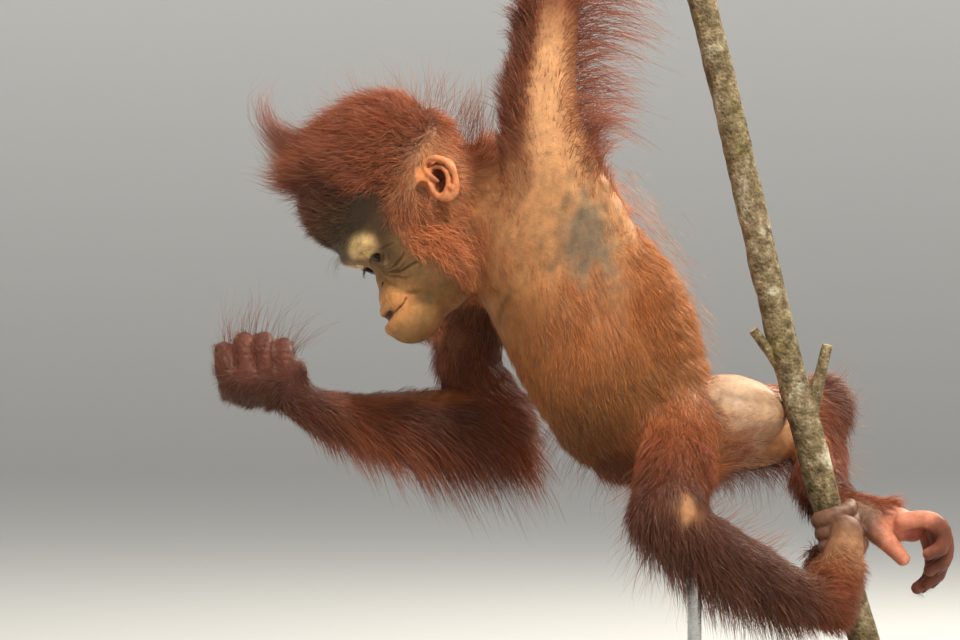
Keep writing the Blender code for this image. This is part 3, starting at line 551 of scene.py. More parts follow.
def make_skin(fine=1.8):
    """The surface of the field as quads: first a coarse search, then fine cells only near the surface."""
    lo = np.min([s.box[0] for k, s, *_ in shapes if k == JOIN], 0) - 12
    hi = np.max([s.box[1] for k, s, *_ in shapes if k == JOIN], 0) + 12
    H = fine * 3
    n = np.ceil((hi - lo) / H).astype(int)
    ax = [lo[i] + H * np.arange(n[i] + 1) for i in range(3)]
    G = np.stack(np.meshgrid(*ax, indexing="ij"), -1).reshape(-1, 3)
    C = np.concatenate([field(G[i:i + 200000]) for i in range(0, len(G), 200000)]).reshape(n + 1)
    cell = np.minimum.reduce([np.abs(C[i:n[0] + i, j:n[1] + j, k:n[2] + k]) for i in (0, 1) for j in (0, 1) for k in (0, 1)]) < 10.5
    near = np.repeat(np.repeat(np.repeat(cell, 3, 0), 3, 1), 3, 2)
    nf = n * 3
    node = np.zeros(nf + 1, bool)
    for i in (0, 1):
        for j in (0, 1):
            for k in (0, 1):
                node[i:nf[0] + i, j:nf[1] + j, k:nf[2] + k] |= near
    sign = np.where(C < 0, -20.0, 20.0).astype(F32)
    D = np.repeat(np.repeat(np.repeat(sign[:-1, :-1, :-1], 3, 0), 3, 1), 3, 2)
    D = np.pad(D, ((0, 1),) * 3, mode="edge")
    idx = np.argwhere(node)
    P = lo + idx * fine
    D[node] = np.concatenate([field(P[i:i + 200000]) for i in range(0, len(P), 200000)])
    inside = D < 0
    s8 = sum(inside[i:nf[0] + i, j:nf[1] + j, k:nf[2] + k].astype(np.int8) for i in (0, 1) for j in (0, 1) for k in (0, 1))
    active = (s8 > 0) & (s8 < 8)
    ids = np.argwhere(active)
    number = np.full(active.shape, -1, np.int32)
    number[active] = np.arange(len(ids))
    pos, cnt = np.zeros((len(ids), 3)), np.zeros(len(ids))
    for axis in range(3):
        for da in (0, 1):
            for db in (0, 1):
                o = np.zeros(3, int)
                o[(axis + 1) % 3], o[(axis + 2) % 3] = da, db
                a = ids + o
                b = a.copy()
                b[:, axis] += 1
                va, vb = D[tuple(a.T)], D[tuple(b.T)]
                m = (va < 0) != (vb < 0)
                t = va[m] / (va[m] - vb[m])
                p = a[m].astype(float)
                p[:, axis] += t
                pos[m] += p
                cnt[m] += 1
    V = lo + pos / cnt[:, None] * fine
    quads = []
    for axis in range(3):
        u, w = (axis + 1) % 3, (axis + 2) % 3
        sl0, sl1 = [slice(1, -1)] * 3, [slice(1, -1)] * 3
        sl0[axis], sl1[axis] = slice(0, -1), slice(1, None)
        a, b = inside[tuple(sl0)], inside[tuple(sl1)]
        e = np.argwhere(a != b)
        flip = b[tuple(e.T)]
        e[:, u] += 1
        e[:, w] += 1
        q = []
        for du, dw in ((-1, -1), (0, -1), (0, 0), (-1, 0)):
            c = e.copy()
            c[:, u] += du
            c[:, w] += dw
            q.append(number[tuple(c.T)])
        q = np.stack(q, 1)
        q[flip] = q[flip][:, ::-1]
        quads.append(q)
    return V, np.concatenate(quads)


def even_out(V, E, turns, k=0.5, keep=None):
    for _ in range(turns):
        s, c = np.zeros_like(V), np.zeros(len(V))
        for a, b in ((0, 1), (1, 0)):
            np.add.at(s, E[:, a], V[E[:, b]])
            np.add.at(c, E[:, a], 1)
        V = V + (np.where(c[:, None] > 0, s / np.maximum(c, 1)[:, None], V) - V) * k
    return V


def close_to(Q, spots):
    m = np.zeros(len(Q), bool)
    for c, r in spots:
        m |= ((Q - c) ** 2).sum(1) < r * r
    return m


press_folds()
V, quads = make_skin(2.0)
V, _ = settle(V, 1)
FINE = [(head(62, 0, -12), 46), (head(58, 20, 0), 30), (head(58, -20, 0), 30), (ear_at(0, 0, 0, 1), 21), (ear_at(0, 0, 0, -1), 21),
        (at(256, 370, 0), 42), (around_trunk(-292, 0, 0), 36), (around_trunk(-292, 180, 0), 30), (at(842, 545, -30), 38),
        (at(915, 545, 0), 44), (at(880, 535, -5), 24)]
FINER = [(head(59, 17, 3), 13), (head(59, -17, 3), 13), (head(67, 0, -11), 11), (head(80, 0, -25), 12), (head(74, 15, -27), 10),
         (head(74, -15, -27), 10), (ear_at(0, 0, 0, 1), 18), (ear_at(0, 0, 0, -1), 18)]
NARROW = KDTree(sum(len(f.p) for kind, f, k, depth in shapes if kind == DENT and k <= 1.3))
DEEP = KDTree(sum(len(f.p) for kind, f, k, depth in shapes if kind == DENT and k < 0.95 and depth > 0.45))
for kind, f, k, depth in shapes:
    if kind == DENT and k <= 1.3:
        for q in f.p:
            NARROW.insert(q, 0)
            if k < 0.95 and depth > 0.45:
                DEEP.insert(q, 0)
NARROW.balance()
DEEP.balance()


def by_folds(Q, tree, far):
    m = close_to(Q, FINE)
    i = np.nonzero(m)[0]
    m[i] = np.array([tree.find(q)[2] < far for q in Q[i].tolist()], bool)
    return m


bm = bmesh.new()
me = bpy.data.meshes.new("skin")
me.from_pydata(V.tolist(), [], quads.tolist())
bm.from_mesh(me)
for spots in (FINE, FINER, []):
    P = np.array([v.co[:] for v in bm.verts])
    near = close_to(P, spots)
    if spots is FINER:
        near |= by_folds(P, NARROW, 2.6)
    if not spots:
        near |= by_folds(P, DEEP, 1.25)
    for i, v in enumerate(bm.verts):
        v.index = i
    edges = [e for e in bm.edges if near[e.verts[0].index] and near[e.verts[1].index]]
    bmesh.ops.subdivide_edges(bm, edges=edges, cuts=1, use_grid_fill=True)
    bm.verts.index_update()
    P = np.array([v.co[:] for v in bm.verts])
    m = close_to(P, [(c, r + 3) for c, r in spots])
    if spots is not FINE:
        m |= by_folds(P, NARROW, 5.0)
    Q, _ = settle(P[m], 1)
    P[m] = Q
    E = np.array([(e.verts[0].index, e.verts[1].index) for e in bm.edges if m[e.verts[0].index] and m[e.verts[1].index]])
    S = even_out(P, E, 1, 0.35)
    Q, _ = settle(S[m], 2)
    P[m] = Q
    for v, p in zip(bm.verts, P):
        v.co = p
bmesh.ops.triangulate(bm, faces=[f for f in bm.faces if len(f.verts) > 4])
bm.to_mesh(me)
bm.free()
V = np.zeros(len(me.vertices) * 3)
me.vertices.foreach_get("co", V)
V = V.reshape(-1, 3)
_, N = settle(V, 1)
print("skin vertices", len(V), "faces", len(me.polygons))

# ---- colours -----------------------------------------------------------------------------------------------------------------


def rgb(r, g, b):
    c = np.array((r, g, b), float) / 255
    return np.where(c <= 0.04045, c / 12.92, ((c + 0.055) / 1.055) ** 2.4)


HAIR = {
    "flank": rgb(196, 112, 50), "back": rgb(214, 138, 66), "nape": rgb(208, 128, 78), "dark": rgb(108, 45, 18),
    "rust": rgb(160, 75, 29), "crown": rgb(142, 66, 27), "cheek": rgb(202, 120, 70), "umber": rgb(98, 41, 17), "belly": rgb(164, 100, 38),
    "stream": rgb(164, 78, 34), "deep": rgb(78, 32, 16), "pale": rgb(226, 168, 120), "olive": rgb(82, 56, 26),
}
SKIN = {
    # belly skin is darker than the flank: partly its own tone, partly painted shade on the front of the body
    "tan": rgb(200, 144, 94), "flank": rgb(176, 110, 58), "belly": rgb(148, 94, 44), "grey": rgb(112, 104, 88),
    "inner": rgb(214, 160, 112), "forehead": rgb(62, 43, 22), "orbit": rgb(216, 182, 124), "face": rgb(124, 92, 54),
    "muzzle": rgb(200, 142, 84), "ear": rgb(208, 132, 84), "fist": rgb(104, 56, 40), "arm": rgb(120, 64, 38),
    "leg": rgb(104, 54, 32), "foot": rgb(112, 78, 60), "sole": rgb(206, 134, 106), "rump": rgb(186, 154, 124),
    "lid": rgb(60, 46, 30), "lip": rgb(188, 124, 78), "mouth": rgb(60, 28, 24), "dark": rgb(70, 36, 24),
}

# coat rows, one for each body row above: hair length mm, tufts per mm2, hair colour, skin colour, lift of the hair in degrees
COAT = {
    "torso": ((9, .34, "nape", "tan", 15), (9, .32, "nape", "tan", 15), (11, .46, "flank", "flank", 17), (11, .50, "belly", "belly", 17),
              (14, .50, "flank", "leg", 18), (14, .42, "flank", "rump", 18), (8, .14, "stream", "rump", 18)),
    "neck": ((12, .60, "cheek", "tan", 22), (11, .55, "nape", "tan", 18), (10, .42, "nape", "tan", 16)),
    "arm_left": ((13, .30, "nape", "inner", 14), (15, .34, "rust", "inner", 16), (17, .42, "rust", "inner", 18), (17, .5, "rust", "inner", 18),
                 (17, .5, "rust", "arm", 18), (17, .5, "rust", "arm", 18), (17, .5, "rust", "arm", 18), (17, .5, "rust", "arm", 18),
                 (16, .55, "dark", "arm", 18), (12, .6, "dark", "fist", 16), (9, .5, "dark", "fist", 16)),
    "arm_right": ((14, .4, "rust", "arm", 16), (16, .55, "dark", "arm", 18), (18, .6, "dark", "arm", 18), (18, .6, "rust", "arm", 18)),
    "forearm_right": ((18, .6, "rust", "arm", 18), (18, .62, "dark", "arm", 18), (17, .66, "dark", "arm", 18), (15, .75, "rust", "arm", 20),
                      (12, .85, "dark", "dark", 22), (9, .8, "dark", "dark", 22)),
    "thigh_left": ((15, .50, "flank", "flank", 16), (17, .55, "rust", "flank", 18), (13, .55, "dark", "leg", 20)),
    "shank_left": ((13, .5, "umber", "leg", 20), (16, .62, "umber", "leg", 20), (16, .66, "umber", "leg", 20), (14, .75, "dark", "leg", 24),
                   (11, .75, "rust", "foot", 24)),
    "thigh_right": ((10, .3, "rust", "inner", 16), (11, .3, "stream", "inner", 16), (14, .5, "rust", "arm", 18), (15, .55, "dark", "arm", 18)),
    "shank_right": ((15, .55, "dark", "arm", 18), (16, .55, "rust", "arm", 18), (14, .6, "dark", "arm", 20), (11, .6, "rust", "foot", 22)),
}
# which way the hair lies along each tube (+1 outward from the body), and how far gravity turns it
LAY = {"torso": (1, .30), "neck": (1, .15), "arm_left": (1, .1), "arm_right": (1, .2), "forearm_right": (-1, .35),
       "thigh_left": (1, .35), "shank_left": (1, .45), "thigh_right": (1, .3), "shank_right": (1, .2)}
REGIONS = list(COAT) + ["head"]
DOWN = np.array((0, 0, -1.0))
HAIRLINE_B = (-62, -50, -38, -18, -5, 6, 13, 22, 33, 47, 58, 66, 80)
HAIRLINE_A = (44, 46, 49, 46.5, 43, 41.5, 36, 30, 34.5, 36.5, 40, 46, 50)


def hairline(h):
    """How far behind the edge of the scalp hair a place on the head lies, in mm; h is forward, left, up."""
    return np.interp(h[:, 2], HAIRLINE_B, HAIRLINE_A) - 0.12 * np.clip(np.abs(h[:, 1]) - 10, 0, 30) * (h[:, 2] > 50) - h[:, 0]


LEFTWARD = np.array((0.55, 0, 0.83))     # level and forward, in the head's axes


def head_fields(Q, N):
    h = in_head(Q)
    a, c, b = h.T
    nh = N @ HEAD
    edge = hairline(h) + 2.5 * wobble(Q, 18, 5)
    scalp = soft(edge, -13, 7)
    inner_ = soft(edge, -10, 16)
    ax = np.abs(c)
    # lie: from the crown forward over the top, down the cheeks, back and down behind the ears
    top = soft(b, 12, 44)
    back = soft(-a, 28, 48) * (1 - soft(b, 26, 46))
    cheek = (1 - soft(b, -4, 22)) * (1 - back)
    d = np.zeros((len(Q), 3))
    d += top[:, None] * LEFTWARD
    d += ((1 - top) * (1 - back) * (1 - cheek))[:, None] * np.array((0.7, 0, 0.35))
    d += cheek[:, None] * np.array((0.25, 0, -1.0))
    d += back[:, None] * np.array((-0.35, 0, -1.0))
    behind = soft(-a, -2, 12) * (1 - soft(b, 0, 26))
    d += behind[:, None] * np.array((-0.7, 0, -1.0))
    front = np.exp(-((a - 34) / 20) ** 2 - ((b - 62) / 20) ** 2)
    d += front[:, None] * LEFTWARD
    lie = d @ HEAD.T
    length = 15 + 8 * top + 5 * soft(b, 50, 66) + 2 * cheek
    length = length + 9 * front * np.exp(-(c / 22) ** 2)
    length = length * (1 - 0.45 * np.exp(-((a + 1) ** 2 + (b - 1) ** 2) / 26 ** 2) * (ax > 25)) * (0.42 + 0.58 * inner_)
    dens = 0.98 + 0.22 * top - 0.35 * (1 - top) * (1 - cheek) * (1 - back) - 0.45 * behind
    ear_close = np.exp(-((a + 1) ** 2 + (b - 1) ** 2) / 20.0 ** 2) * (ax > 25)
    dens = dens * (1 - 0.35 * ear_close)
    hair = lerp(HAIR["crown"], HAIR["rust"], 0.25)[None] * np.ones((len(Q), 1))
    hair = lerp(hair, HAIR["cheek"], np.clip(cheek * soft(a, -6, 24) * 1.0, 0, 1)[:, None])
    hair = lerp(hair, HAIR["nape"], np.clip(behind + back * 0.7, 0, 1)[:, None] * 0.9)
    hair = lerp(hair, HAIR["pale"], (ear_close * 0.45)[:, None])
    hair = lerp(hair, HAIR["dark"], (0.8 * np.exp(-((a - 46) / 18) ** 2 - ((b - 58) / 22) ** 2))[:, None])
    # outside the scalp: dark fuzz on the forehead, nearly bare face, a few long hairs under the chin
    fore = soft(b, 10, 20) * (1 - scalp)
    chin = soft(-b, 44, 56) * soft(a, 40, 60) * (1 - scalp)
    face_len = (3.6 + 8.6 * soft(b, 20, 46)) * fore + 2.2 * (1 - fore) + 9 * chin
    face_den = 1.25 * fore + 0.10 * (1 - fore) + 0.16 * chin
    orbit = np.exp(-(((a - 60) / 9) ** 2 + ((ax - 17) / 12) ** 2 + ((b - 6) / 11) ** 2))
    face_den = face_den * (1 - 0.93 * np.clip(orbit * 1.5, 0, 1))
    face_den = face_den + 0.5 * np.exp(-(((a - 42) / 11) ** 2 + ((b - 12) / 11) ** 2 + ((ax - 30) / 12) ** 2))
    length = lerp(face_len, length, scalp)
    dens = lerp(face_den, dens, scalp)
    hair = lerp(lerp(HAIR["olive"][None], HAIR["dark"][None], (0.75 * soft(b, 26, 50))[:, None]), hair, scalp[:, None])
    hair = lerp(hair, HAIR["rust"], chin[:, None])
    # skin of the head
    sk = np.ones((len(Q), 1)) * SKIN["face"]
    sk = lerp(sk, SKIN["forehead"] * (1 - 0.35 * soft(b, 26, 46))[:, None], soft(b, 13, 22)[:, None])
    sk = lerp(sk, SKIN["tan"], (soft(edge, -2, 8) * (1 - soft(b, 12, 30)))[:, None])
    sk = lerp(sk, lerp(SKIN["forehead"], HAIR["dark"], 0.4), (soft(edge, -2, 6) * soft(b, 12, 30))[:, None])
    muz = np.exp(-(((a - 79) / 14) ** 2 + ((b + 24) / 15) ** 2))
    sk = lerp(sk, SKIN["muzzle"], np.clip(muz * 1.35, 0, 1)[:, None])
    jawy = soft(-b, 46, 58) * soft(a, 30, 60)
    sk = lerp(sk, lerp(SKIN["muzzle"], SKIN["face"], 0.6), jawy[:, None] * 0.6)
    upper = np.exp(-(((a - 58) / 13) ** 2 + ((ax - 19.5) / 12.5) ** 2 + ((b - 12.6) / 9.2) ** 2) ** 2.4)
    lower = np.exp(-(((a - 59) / 8) ** 2 + ((ax - 17) / 9) ** 2 + ((b + 5.0) / 3.6) ** 2))
    sk = lerp(sk, SKIN["orbit"], np.clip(1.5 * upper + 0.35 * lower, 0, 1)[:, None])
    rim = np.exp(-(((ax - 17.2) / 8.6) ** 4 + ((b - 2.2) / 4.0) ** 4)) * soft(a, 52, 57)
    sk = lerp(sk, SKIN["lid"] * 0.6, (rim * 0.92)[:, None])
    # painted shade: darker olive-brown around and below the eye and beside the nose
    shade = np.exp(-(((a - 52) / 12) ** 2 + ((ax - 27) / 10) ** 2 + ((b + 3) / 10) ** 2))
    sk = lerp(sk, rgb(74, 52, 28), (shade * 0.72 * (1 - np.clip(1.5 * upper, 0, 1)))[:, None])
    temple = np.exp(-(((a - 43) / 13) ** 2 + ((b - 12) / 12) ** 2 + ((ax - 30) / 14) ** 2)) * (1 - np.clip(1.5 * upper, 0, 1))
    sk = lerp(sk, SKIN["forehead"], np.clip(temple * 1.1, 0, 0.85)[:, None])
    # painted shadow at the inner corner of the eye, along the side of the nose
    inner = np.exp(-(((a - 61) / 5) ** 2 + ((ax - 8.5) / 4.5) ** 2 + ((b + 2) / 5) ** 2))
    sk = lerp(sk, SKIN["lid"], (inner * 0.55)[:, None])
    # painted shade inside the nostril slits
    nostril = np.exp(-(((a - 66) / 4.5) ** 2 + ((ax - 6.3) / 2.2) ** 2 + ((b + 12.3) / 2.7) ** 2) ** 1.5)
    sk = lerp(sk, SKIN["mouth"] * 0.4, (nostril * 0.9)[:, None])
    m = (a > 55) & (b < -15) & (b > -36)
    if m.any():
        gap = np.full(len(Q), 50.0)
        gap[m] = MOUTH.dist(Q[m])
        sk = lerp(sk, SKIN["lip"], np.exp(-(gap / 3.6) ** 2)[:, None] * 0.7)
        # painted shade: a dark line in the crease of the mouth, and the inside of the parted lips nearly black
        sk = lerp(sk, SKIN["mouth"], np.exp(-(np.maximum(gap, 0) / 0.45) ** 2)[:, None] * 0.5)
        inside = np.exp(-(((a - 81.5) / 4.6) ** 4 + (c / 12.5) ** 4 + ((b + 25.4) / 2.6) ** 4))
        sk = lerp(sk, SKIN["mouth"] * 0.5, (inside * 0.95)[:, None])
    for s in (1, -1):
        e = np.sqrt(((Q - ear_at(0.5, 0, 1, s)) ** 2).sum(1))
        on = (1 - soft(e, 14.5, 17.5))
        out = (c * s > 40)
        inear = on * out
        sk = lerp(sk, SKIN["ear"], inear[:, None])
        q = (Q - ear_at(0, 0, 0, s)) @ ear_axes(s)
        # painted shade: the hollows of the ear are darkened, more where they lie deeper toward the head
        deep = np.exp(-((q[:, 0] + .4) ** 2 / 22 + (q[:, 2] - 2.4) ** 2 / 20)) + np.exp(-((q[:, 0] - .6) ** 2 / 11 + (q[:, 2] + 4.6) ** 2 / 22)) \
            + 0.8 * np.exp(-((q[:, 0] + 1.8) ** 2 / 22 + (q[:, 2] - 7.6) ** 2 / 9))
        low = soft(-q[:, 1] * -1, -1.2, 1.4)
        sk = lerp(sk, rgb(96, 40, 24), (np.clip(deep * 1.15, 0, 1) * inear * (0.42 + 0.55 * low))[:, None])
        dens = dens * (1 - inear * 0.995)
    lift = 24 + 5 * top + 6 * cheek + 13 * front
    lift = lerp(30.0 + 14 * soft(b, 20, 46), lift, scalp)
    pull = DOWN * 0.5 + np.array((-0.45, 0, 1.3)) * (front + 0.12 * top)[:, None] * scalp[:, None]
    return lie, length, dens, hair, sk, scalp, lift, pull


PATCHES = (     # middle, radii (x, y, z) mm, what changes: density factor, length factor, skin colour, its strength, hair colour, its strength
    (at(560, 212, -56), (24, 26, 22), .35, .7, "tan", .8, "pale", .3),
    (at(600, 215, -40), (22, 30, 16), .45, .8, "tan", .9, "back", .5),
    (at(535, 215, -52), (26, 24, 30), .55, .7, "tan", .7, "nape", .3),
    (at(680, 501, -118), (9, 12, 8.5), .22, .6, "inner", .62, "pale", .3),        # bare knee
    (at(722, 390, -26), (10, 22, 9), .6, 1, "grey", .45, "dark", 0),
    (at(758, 386, -22), (15, 22, 7), .6, 1, "grey", .5, "dark", 0),
    (at(835, 404, 100), (11, 12, 11), .3, .6, "foot", .5, "dark", 0),
    (at(740, 388, -22), (22, 30, 16), .16, .5, "rump", 1, "pale", .4),          # seat
    (at(740, 388, 22), (22, 30, 16), .16, .5, "rump", 1, "pale", .4),
    (at(752, 436, 26), (38, 28, 22), .22, .6, "inner", .95, "stream", .3),     # inner side of the right thigh
    # belly and chest: darker belly colours, partly painted shade on the front of the body
    (at(548, 300, -10), (44, 24, 30), .7, .8, "belly", .5, "belly", .4),
    (at(505, 318, -20), (26, 40, 26), .5, .7, "belly", .6, "belly", .5),       # chest
    (at(586, 236, -52), (15, 26, 26), .30, .7, "grey", .82, "flank", 0),      # bare bluish patch
    (at(612, 292, -52), (9, 22, 30), .55, .8, "grey", .30, "flank", 0),
)


def anatomy(Q, N):
    """Everything that the coat and the skin need at places on the skin."""
    n = len(Q)
    dist = np.full((n, len(REGIONS)), 60.0)
    lie, vals, hair, sk, pull = (np.zeros((len(REGIONS), n, 3)) for _ in range(5))
    uv = np.zeros((len(REGIONS), n, 2))
    along = np.zeros(n)
    for i, name in enumerate(REGIONS[:-1]):
        T = tubes[name]
        m = ((Q > T.box[0] - 45) & (Q < T.box[1] + 45)).all(1)
        if not m.any():
            continue
        q, nn = Q[m], N[m]
        d, s = T.dist(q, True)
        dist[m, i] = d
        rows = COAT[name]
        row = np.interp(s, np.arange(len(T.row)), T.row)
        k = np.arange(len(rows))
        num = [np.interp(row, k, [float(r[j]) for r in rows]) for j in (0, 1, 4)]
        hc = np.stack([np.interp(row, k, [HAIR[r[2]][j] for r in rows]) for j in range(3)], 1)
        sc = np.stack([np.interp(row, k, [SKIN[r[3]][j] for r in rows]) for j in range(3)], 1)
        t = unit(T.at(s, T.t))
        A, B = T.at(s, T.a), T.at(s, T.b)
        rel = q - T.at(s, T.p)
        ang = np.arctan2((rel * B).sum(1), (rel * A).sum(1))
        uv[i, m, 0] = 0.03 + 0.94 * (ang / (2 * math.pi) + 0.5)
        uv[i, m, 1] = 0.03 + 0.94 * np.interp(s, np.arange(len(T.length)), T.length) / T.length[-1]
        sign, grav = LAY[name]
        f = t * sign + DOWN * grav
        length, dens, lift = num
        pu = DOWN * np.ones((len(q), 1))
        r3 = unit(rel)
        if name == "forearm_right":
            below = np.clip(-(r3[:, 2]), 0, 1)
            mid = np.interp(row, (0, 1, 2, 3, 4, 5), (1, 1, 1, .8, .45, .1))
            elbow = np.interp(row, (0, .6, 1.3, 2, 3), (1, 1, .9, .45, .1))
            length = length * (0.62 + 0.38 * soft(-r3[:, 2], -0.7, 0.4)) + (26 + 14 * elbow) * mid * below ** 1.8
            dens = dens * (0.45 + 0.75 * soft(-r3[:, 2], -0.9, 0.1))
            f = f + (DOWN * 0.75 + np.array((0.62, 0, 0))) * (below * mid)[:, None]
            pu = lerp(pu, np.array((0.35, 0, -1.0)), (below * mid)[:, None])
            hc = lerp(hc, HAIR["rust"], (0.5 * below * mid)[:, None])
            up = soft(r3[:, 2], 0.25, 0.95) * np.interp(row, (0, 1, 2, 3, 4), (0.3, 1, .8, .2, 0))
            sc = lerp(sc, SKIN["flank"], (up * 0.7)[:, None])
            dens = dens * (1 - 0.6 * up)
            length = length * (1 - 0.35 * up)
        if name == "neck":
            crest = soft(r3 @ unit(np.array((0.0, 0, 1.0))), 0.55, 0.95)
            length = length * (1 - 0.3 * (1 - crest)) + 9 * crest
            f = f * (1 - 0.8 * crest)[:, None] + np.array((0.1, -0.1, 1.0)) * crest[:, None]
            pu = lerp(pu, np.array((0.05, 0, 1.6)), crest[:, None])
            lift = lift + 34 * crest
            hc = lerp(hc, HAIR["rust"], (crest * 0.5)[:, None])
        if name == "arm_left":
            right, left = soft(r3[:, 0], 0.25, 0.85), soft(-r3[:, 0], 0.15, 0.75)
            up = np.interp(row, (0, 1, 2, 3, 4, 5, 6, 10), (0, .6, 1, 1, 1, 1, .8, .2))
            length = length + 38 * right * up + 3 * left * up
            f = f * (1 - 0.65 * (right * up)[:, None]) + np.array((1.0, 0, -0.05)) * (right * up)[:, None] + np.array((-0.45, 0, 0.2)) * (left * up)[:, None]
            lift = lift + 22 * right * up + 8 * left * up
            dens = dens * (1 - 0.66 * right * up)
            pu = lerp(pu, np.array((0.5, 0, -0.45)), (right * up)[:, None])
            hc = lerp(hc, HAIR["stream"], (right * up)[:, None])
            hc = lerp(hc, HAIR["dark"], (left * up * 0.8)[:, None])
            lower = 1 - soft(row, 4.2, 5.4)
            bare = soft(-r3[:, 1], 0.15, 0.7) * (1 - right) * (1 - left) * lower
            dens = dens * (1 - 0.88 * bare)
            length = length * (1 - 0.5 * bare)
            sc = lerp(sc, SKIN["arm"], (left * 0.7 * soft(row, .6, 1.6))[:, None])
            past = soft(row, 5.2, 6.6)      # forearm hair lies toward the elbow
            f = f * (1 - past)[:, None] + (-t * 0.8 + DOWN * 0.45 + np.array((0.5, 0, 0)) * right[:, None]) * past[:, None]
        if name == "torso":
            backside = soft((r3 @ unit(np.array((0.75, 0, 0.65)))), 0.55, 0.95)
            length = length + 3 * backside
            hc = lerp(hc, HAIR["back"], (backside * 0.8 * (1 - soft(row, 4.2, 5)))[:, None])
            dens = dens * (1 + 0.5 * backside)
            f = f + np.array((0.32, 0, 0.12)) * backside[:, None]
            lift = lift + 12 * backside
            # the front of the chest and belly takes the darker belly skin and hair colours: partly their own tone,
            # partly painted shade on that side
            front = soft(-(r3 @ unit(np.array((0.75, 0, 0.65)))), 0.2, 0.8) * soft(row, 0.6, 1.8)
            sc = lerp(sc, SKIN["belly"], (front * 0.8)[:, None])
            hc = lerp(hc, HAIR["belly"], (front * 0.5)[:, None])
            low = soft(row, 2.2, 3.8) * front
            length = length + 6 * low
            hc = lerp(hc, HAIR["dark"], (low * 0.7)[:, None])
            dens = dens * (1 - 0.25 * front * (1 - low))
        if name == "thigh_left":
            below = np.clip(-r3[:, 0] * 0.7 - r3[:, 2] * 0.5, 0, 1)
            length = length + 10 * below * soft(row, .6, 1.6)
            f = f + (DOWN * 0.3 + np.array((-0.25, 0, 0))) * (below * soft(row, .6, 1.6))[:, None]
        if name == "shank_left":
            below = np.clip(-r3[:, 2] * 0.9 - r3[:, 0] * 0.3, 0, 1)
            w = np.interp(row, (0, 1, 2, 3, 4), (.9, 1, .9, .5, .2))
            length = length + 27 * below ** 1.6 * w
            f = f * (1 - 0.4 * (below * w)[:, None]) + DOWN * (0.8 * below * w)[:, None] + np.array((-0.35, 0, 0)) * (below * (1 - soft(row, .2, 1.4)))[:, None]
            top = soft(r3[:, 2], 0.3, 0.9)
            length = length * (1 - 0.25 * top)
        if name == "thigh_right":
            inner = soft(-r3[:, 1], 0.1, 0.7) * (1 - soft(row, 1.6, 2.4))
            dens = dens * (1 - 0.75 * inner)
            below = np.clip(-r3[:, 2], 0, 1)
            length = length + 26 * below ** 2
            dens = dens * (1 - 0.45 * below)
            hc = lerp(hc, HAIR["stream"], (below * 0.8)[:, None])
            sc = lerp(sc, SKIN["arm"], (soft(r3[:, 1], 0.2, 0.9) * 0.8)[:, None])
            f = f + DOWN * (0.5 * below)[:, None]
        if name == "shank_right":
            inner = soft(-r3[:, 1] - r3[:, 0] * .2, 0.35, 0.9)
            sc = lerp(sc, SKIN["inner"], (inner * 0.45)[:, None])
            dens = dens * (1 - 0.45 * inner)
            length = length + 6 * soft(np.abs(r3[:, 0]), .4, .95)
            f = f + np.array((1.0, 0, 0)) * (0.3 * np.sign(r3[:, 0]) * soft(np.abs(r3[:, 0]), .3, .9))[:, None]
        lie[i, m], hair[i, m], sk[i, m], pull[i, m] = unit(f), hc, sc, pu
        vals[i, m, 0], vals[i, m, 1], vals[i, m, 2] = length, dens, lift
    # the head, by its own rules
    i = len(REGIONS) - 1
    dh = np.minimum.reduce([b.dist(Q) for b, _ in HEAD_PARTS])
    hh = in_head(Q)
    dh = np.minimum(dh, np.where(hh[:, 0] > 42, -2.0, 60.0) + 0 * dh)
    m = dh < 45
    for s in (1, -1):
        m |= ((Q - ear_at(0, 0, 0, s)) ** 2).sum(1) < 20 ** 2
        dh[((Q - ear_at(0, 0, 0, s)) ** 2).sum(1) < 19 ** 2] = -3
    far_off = (hh[:, 0] > 105) | (hh[:, 2] < -75)
    dh[far_off] = 60
    m &= ~far_off
    l3, ln, dn, hc, sc, scalp, lf, pu = head_fields(Q[m], N[m])
    dist[:, i] = np.where(m, dh, 60)
    lie[i, m], hair[i, m], sk[i, m], pull[i, m] = unit(l3), hc, sc, pu
    vals[i, m, 0], vals[i, m, 1], vals[i, m, 2] = ln, dn, lf
    hq = in_head(Q) - np.array((22, 0, 5))
    uv[i, :, 0] = 0.03 + 0.94 * (np.arctan2(hq[:, 1], hq[:, 2]) / (2 * math.pi) + 0.5)
    uv[i, :, 1] = 0.03 + 0.94 * np.arccos(np.clip(hq[:, 0] / np.maximum(np.linalg.norm(hq, axis=1), 1), -1, 1)) / math.pi
    best = dist.argmin(1)
    w = np.exp(-(dist - dist.min(1, keepdims=True)) / 5.0)
    w[dist >= 59] = 0
    w /= np.maximum(w.sum(1, keepdims=True), 1e-9)
    mix = lambda arr: np.einsum("nr,rnk->nk", w, arr)
    L, Hc, Sc, X, Pu = mix(lie), mix(hair), mix(sk), mix(vals), mix(pull)
    length, dens, lift = X.T
    for mid, rad, fd, fl, skn, ks, hrn, kh in PATCHES:
        g = np.exp(-(((Q - mid) / np.array(rad)) ** 2).sum(1)) ** 0.8
        g = np.clip(g * 1.35 + 0.22 * (g > 0.02) * wobble(Q, 11, 31), 0, 1)
        dens = dens * lerp(1, fd, g)
        length = length * lerp(1, fl, g)
        Sc = lerp(Sc, SKIN[skn], (g * ks)[:, None])
        Hc = lerp(Hc, HAIR[hrn], (g * kh)[:, None])
